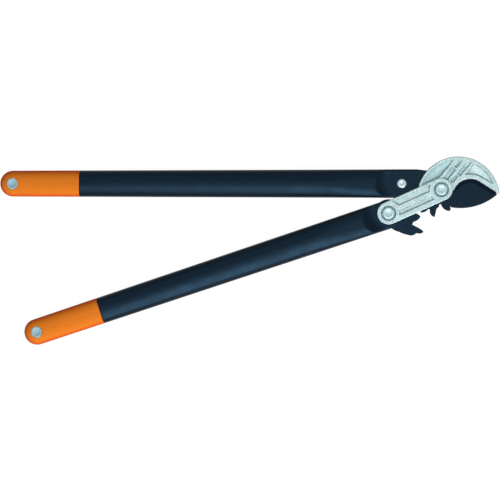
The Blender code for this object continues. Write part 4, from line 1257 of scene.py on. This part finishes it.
def lacquered_casting(name):
    """Die-cast aluminium under a satin silver lacquer: pale, soft and slightly blue-green.

    Blasting leaves 0.1 mm dimples, drawn at 0.5 mm. The lacquer lies in clouds 9 mm wide. The
    floors of the pockets, which the floor attribute marks, are painted darker as shade. The corner
    attribute marks painted shade, with some dirt, at the feet of the walls, round the pin heads and
    beside the link arm.
    """
    made, tree, shader, place = new_finish(name)
    clouds = noise(tree, place, 9 * mm, 5.0, 0.62)
    level = stretched(tree, clouds, 0.3, 0.7)
    casting_colour = between(tree, level, colour("#A2BABC"), colour("#B4CBCD"))
    # Painted shade: the floors of the pockets are painted darker.
    painted_shade_floor_colour = between(tree, level, colour("#84A5A9"), colour("#97B7BB"))
    metal = between(tree, marked(tree, "floor"), casting_colour, painted_shade_floor_colour)
    streaks = stretched(tree, noise(tree, place, 2.2 * mm, 4.0), 0.25, 0.7, 0.55, 1.0)
    # Painted shade, with some dirt, darkens the feet of the walls, the gap round each pin's head and the
    # disc beside the link arm.
    dirt_and_painted_shade = product(tree, marked(tree, "corner"), streaks)
    feed(tree, shader, {
        "Metallic": 0.2,
        "Specular IOR Level": 0.3,
        "Base Color": between(tree, dirt_and_painted_shade, metal, colour("#4A6E75")),
        "Roughness": stretched(tree, clouds, 0.3, 0.7, 0.48, 0.38),
        "Normal": relief(tree, noise(tree, place, 0.5 * mm, 3.0), 0.15, 0.04 * mm),
    })
    return made


def coated_steel(name):
    """Ground steel under a baked non-stick coat: dark, smooth, with the grinding lines showing through.

    The grinding lines are 0.2 mm apart and run across the blade, drawn 0.8 mm apart. The coat has
    specks 1.5 mm wide where it lies thinner.
    """
    made, tree, shader, place = new_finish(name)
    lengthened = add(tree, "ShaderNodeMapping", {"Vector": place,
                                                 "Rotation": (0.0, 0.0, math.radians(20.0)),
                                                 "Scale": (1 / 0.0008, 1 / 0.025, 1 / 0.0008)})
    lines = noise(tree, lengthened.outputs[0], 1.0, 3.0)
    specks = noise(tree, place, 1.5 * mm, 3.0)
    spread = stretched(tree, product(tree, lines, specks), 0.12, 0.4)
    feed(tree, shader, {
        "Metallic": 0.1,
        "Specular IOR Level": 0.15,
        "Specular Tint": colour("#A8D6FF"),
        "Base Color": between(tree, spread, colour("#08121C"), colour("#0B1722")),
        "Roughness": stretched(tree, lines, 0.3, 0.7, 0.34, 0.46),
        "Normal": relief(tree, lines, 0.1, 0.04 * mm),
    })
    return made


def turned_metal(name, centre, dark, light, roughness, metallic=0.9, pitch=0.9 * mm):
    """Metal faced on a lathe: fine rings about its axis, with bright and dull bands.

    The tool's feed is 0.1 mm a turn, drawn here at the given pitch. At scale one the rings of a
    wave texture are 0.314 apart.
    """
    made, tree, shader, place = new_finish(name)
    centred = add(tree, "ShaderNodeMapping", {"Vector": place, "Location": (-centre[0], -centre[1], 0.0)})
    turns = add(tree, "ShaderNodeTexWave", {"Vector": centred.outputs[0], "Scale": 0.314 / pitch,
                                            "Distortion": 1.2, "Detail": 2.0, "Detail Scale": 2.0},
                wave_type="RINGS", rings_direction="Z").outputs["Fac"]
    clouds = noise(tree, place, 4 * mm, 4.0)
    feed(tree, shader, {
        "Metallic": metallic,
        "Base Color": between(tree, product(tree, turns, clouds), colour(dark), colour(light)),
        "Roughness": stretched(tree, clouds, 0.3, 0.7, roughness - 0.06, roughness + 0.08),
        "Normal": relief(tree, turns, 0.25, 0.06 * mm),
    })
    return made


# The pieces, each with its body, the nodes it stands for and its finish

def dress(piece, body, node, finish):
    """Give a piece its finish, let it move with a body, and let it stand for a node."""
    piece.data.materials.append(finish)
    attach(piece, body)
    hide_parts(node)


# The flank colours are painted shade on the steep sides of the handles and grips.
fibre = moulded_nylon("glass_fibre_nylon_moulded", "#03070C", "#050B12", 0.35, "#30465A",
                      gloss=0.22, tint="#8CCCFF", flank="#020509")
orange = moulded_nylon("orange_nylon_moulded", "#DE7620", "#E27F28", 0.6, "#EC9A4E",
                       gloss=0.12, tint="#FFB468", flank="#D0501C")
grey = moulded_nylon("blue_grey_nylon_moulded", "#8CAEB9", "#9CBBC4", 0.5, "#C4D6DA")
casting = lacquered_casting("aluminium_die_cast_lacquered")
coated = coated_steel("blade_steel_coated")

upper_plug_place = to_upper(np.array(((plug_inset - upper_length - grip_length, 0.0),)))[0]
lower_plug_place = to_lower(np.array(((plug_inset - lower_length - grip_length, lower_offset),)))[0]

dress(make_casting(), "anvil_side", "anvil_head", casting)
dress(mark_steep(make_upper_handle()), "anvil_side", "upper_handle", fibre)
dress(mark_steep(make_lower_handle()), "lower_lever", "lower_handle", fibre)
dress(make_blade(), "cutting_blade", "blade", coated)
upper_grip = make_grip("upper_grip_moulding", upper_length, 0.0, to_upper)
lower_grip = make_grip("lower_grip_moulding", lower_length, lower_offset, to_lower)
dress(mark_steep(upper_grip), "anvil_side", "upper_grip", orange)
dress(mark_steep(lower_grip), "lower_lever", "lower_grip", orange)
upper_plug = make_plug("upper_plug_moulding", upper_plug_place)
lower_plug = make_plug("lower_plug_moulding", lower_plug_place)
dress(upper_plug, "anvil_side", "upper_grip_plug", grey)
dress(lower_plug, "lower_lever", "lower_grip_plug", grey)
for label, pivot in (("main_pivot", main_pivot), ("gear_pivot", gear_pivot)):
    plated = turned_metal(label + "_zinc_plated_steel", pivot, "#8CA6AB", "#B0C5C9", 0.4, 0.5)
    dress(make_pin(label + "_pin_turned", pivot), "anvil_side", label + "_pin", plated)
    dress(make_nut(label + "_nut_turned", pivot), "anvil_side", label + "_nut", plated)
bright = turned_metal("rivet_bright_steel", rivet_place, "#A8B9BF", "#D4DFE3", 0.35, 0.4, 1.4 * mm)
dress(make_rivet("handle_rivet_formed"), "anvil_side", "handle_rivet", bright)
dress(make_rivet_cap("handle_rivet_cap_formed"), "anvil_side", "handle_rivet_cap", bright)

bronze = turned_metal("bush_sintered_bronze", main_pivot, "#6A4A26", "#A87B45", 0.5, 0.85)
acetal = moulded_nylon("washer_white_acetal", "#D6D8D2", "#E2E3DE", 0.45, "#F2F2F0")
for label in ("gear_bush", "blade_bush"):
    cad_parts[label].material_slots[0].material = bronze
for label in ("blade_washer_front", "blade_washer_back", "hub_washer_front", "hub_washer_back"):
    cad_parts[label].material_slots[0].material = acetal


# Floor, light and camera

def background_seen(tree, share):
    """This share where a camera, glossy or transmitted ray meets the background, and else nought."""
    ray = add(tree, "ShaderNodeLightPath")
    shown = ray.outputs["Is Camera Ray"]
    for kind in ("Is Glossy Ray", "Is Transmission Ray"):
        either = add(tree, "ShaderNodeMath", {0: shown, 1: ray.outputs[kind]}, operation="MAXIMUM")
        shown = either.outputs[0]
    return product(tree, shown, share)


scene = bpy.context.scene
world = bpy.data.worlds.new("studio")
scene.world = world
world.use_nodes = True
tree = world.node_tree
sky = tree.nodes["Background"]
feed(tree, sky, {"Color": (0.9, 0.96, 1.0, 1.0), "Strength": 0.12})
paper = add(tree, "ShaderNodeBackground", {"Color": (1.0, 1.0, 1.0, 1.0), "Strength": 1.0})
paper_share = background_seen(tree, 1.0)
seen = add(tree, "ShaderNodeMixShader", {0: paper_share, 1: sky.outputs[0], 2: paper.outputs[0]})
tree.links.new(seen.outputs[0], tree.nodes["World Output"].inputs["Surface"])

floor_reach = 6.0
corners = [(-floor_reach, -floor_reach), (floor_reach, -floor_reach), (floor_reach, floor_reach),
           (-floor_reach, floor_reach)]
floor_mesh = bpy.data.meshes.new("floor")
floor_mesh.from_pydata([(x, y, -0.2 * mm) for x, y in corners], [], [(0, 1, 2, 3)])
floor = bpy.data.objects.new("floor", floor_mesh)
scene.collection.objects.link(floor)
floor_paint = bpy.data.materials.new("floor_paper")
floor_paint.use_nodes = True
tree = floor_paint.node_tree
lit = tree.nodes["Principled BSDF"]
feed(tree, lit, {"Base Color": (0.9, 0.9, 0.9, 1.0), "Roughness": 0.9, "Specular IOR Level": 0.0})
glow = add(tree, "ShaderNodeEmission", {"Color": (1.0, 1.0, 1.0, 1.0), "Strength": 1.03})
glow_share = background_seen(tree, 0.95)
seen = add(tree, "ShaderNodeMixShader", {0: glow_share, 1: lit.outputs[0], 2: glow.outputs[0]})
tree.links.new(seen.outputs[0], tree.nodes["Material Output"].inputs["Surface"])
floor_mesh.materials.append(floor_paint)

view_centre = np.array((-264.3, -83.7, 12.5)) * mm
lamp_distance = 3.5


def softbox(name, bearing, height, width, depth, level):
    """A flat lamp that faces the view's centre, from a bearing and an angle over the floor.

    A lamp's light on a surface that faces it falls with the square of the distance, and pi squared
    times that square is the power that renders a colour as it is written.
    """
    data = bpy.data.lights.new(name, "AREA")
    data.shape = "RECTANGLE"
    data.size = width
    data.size_y = depth
    data.energy = level * math.pi ** 2 * lamp_distance ** 2
    along_floor = math.cos(height)
    ahead = mathutils.Vector((along_floor * math.cos(bearing), along_floor * math.sin(bearing),
                              math.sin(height)))
    lamp = bpy.data.objects.new(name, data)
    lamp.visible_camera = False
    lamp.location = mathutils.Vector(view_centre) + lamp_distance * ahead
    lamp.rotation_euler = ahead.to_track_quat("Z", "Y").to_euler()
    scene.collection.objects.link(lamp)


softbox("key_softbox", math.radians(-72.0), math.radians(57.0), width=1.1, depth=3.6, level=1.06)
softbox("edge_softbox", math.radians(-52.0), math.radians(16.0), width=1.0, depth=0.8, level=0.26)
softbox("fill_softbox", math.radians(115.0), math.radians(60.0), width=1.6, depth=1.2, level=0.06)

lens = bpy.data.cameras.new("camera")
lens.lens = 400.0
lens.sensor_width = 36.0
frame_width = 0.6915
camera = bpy.data.objects.new("camera", lens)
camera_height = frame_width * lens.lens / lens.sensor_width
camera.location = mathutils.Vector(view_centre) + mathutils.Vector((0.0, 0.0, camera_height))
scene.collection.objects.link(camera)
scene.camera = camera
scene.view_settings.view_transform = "Standard"
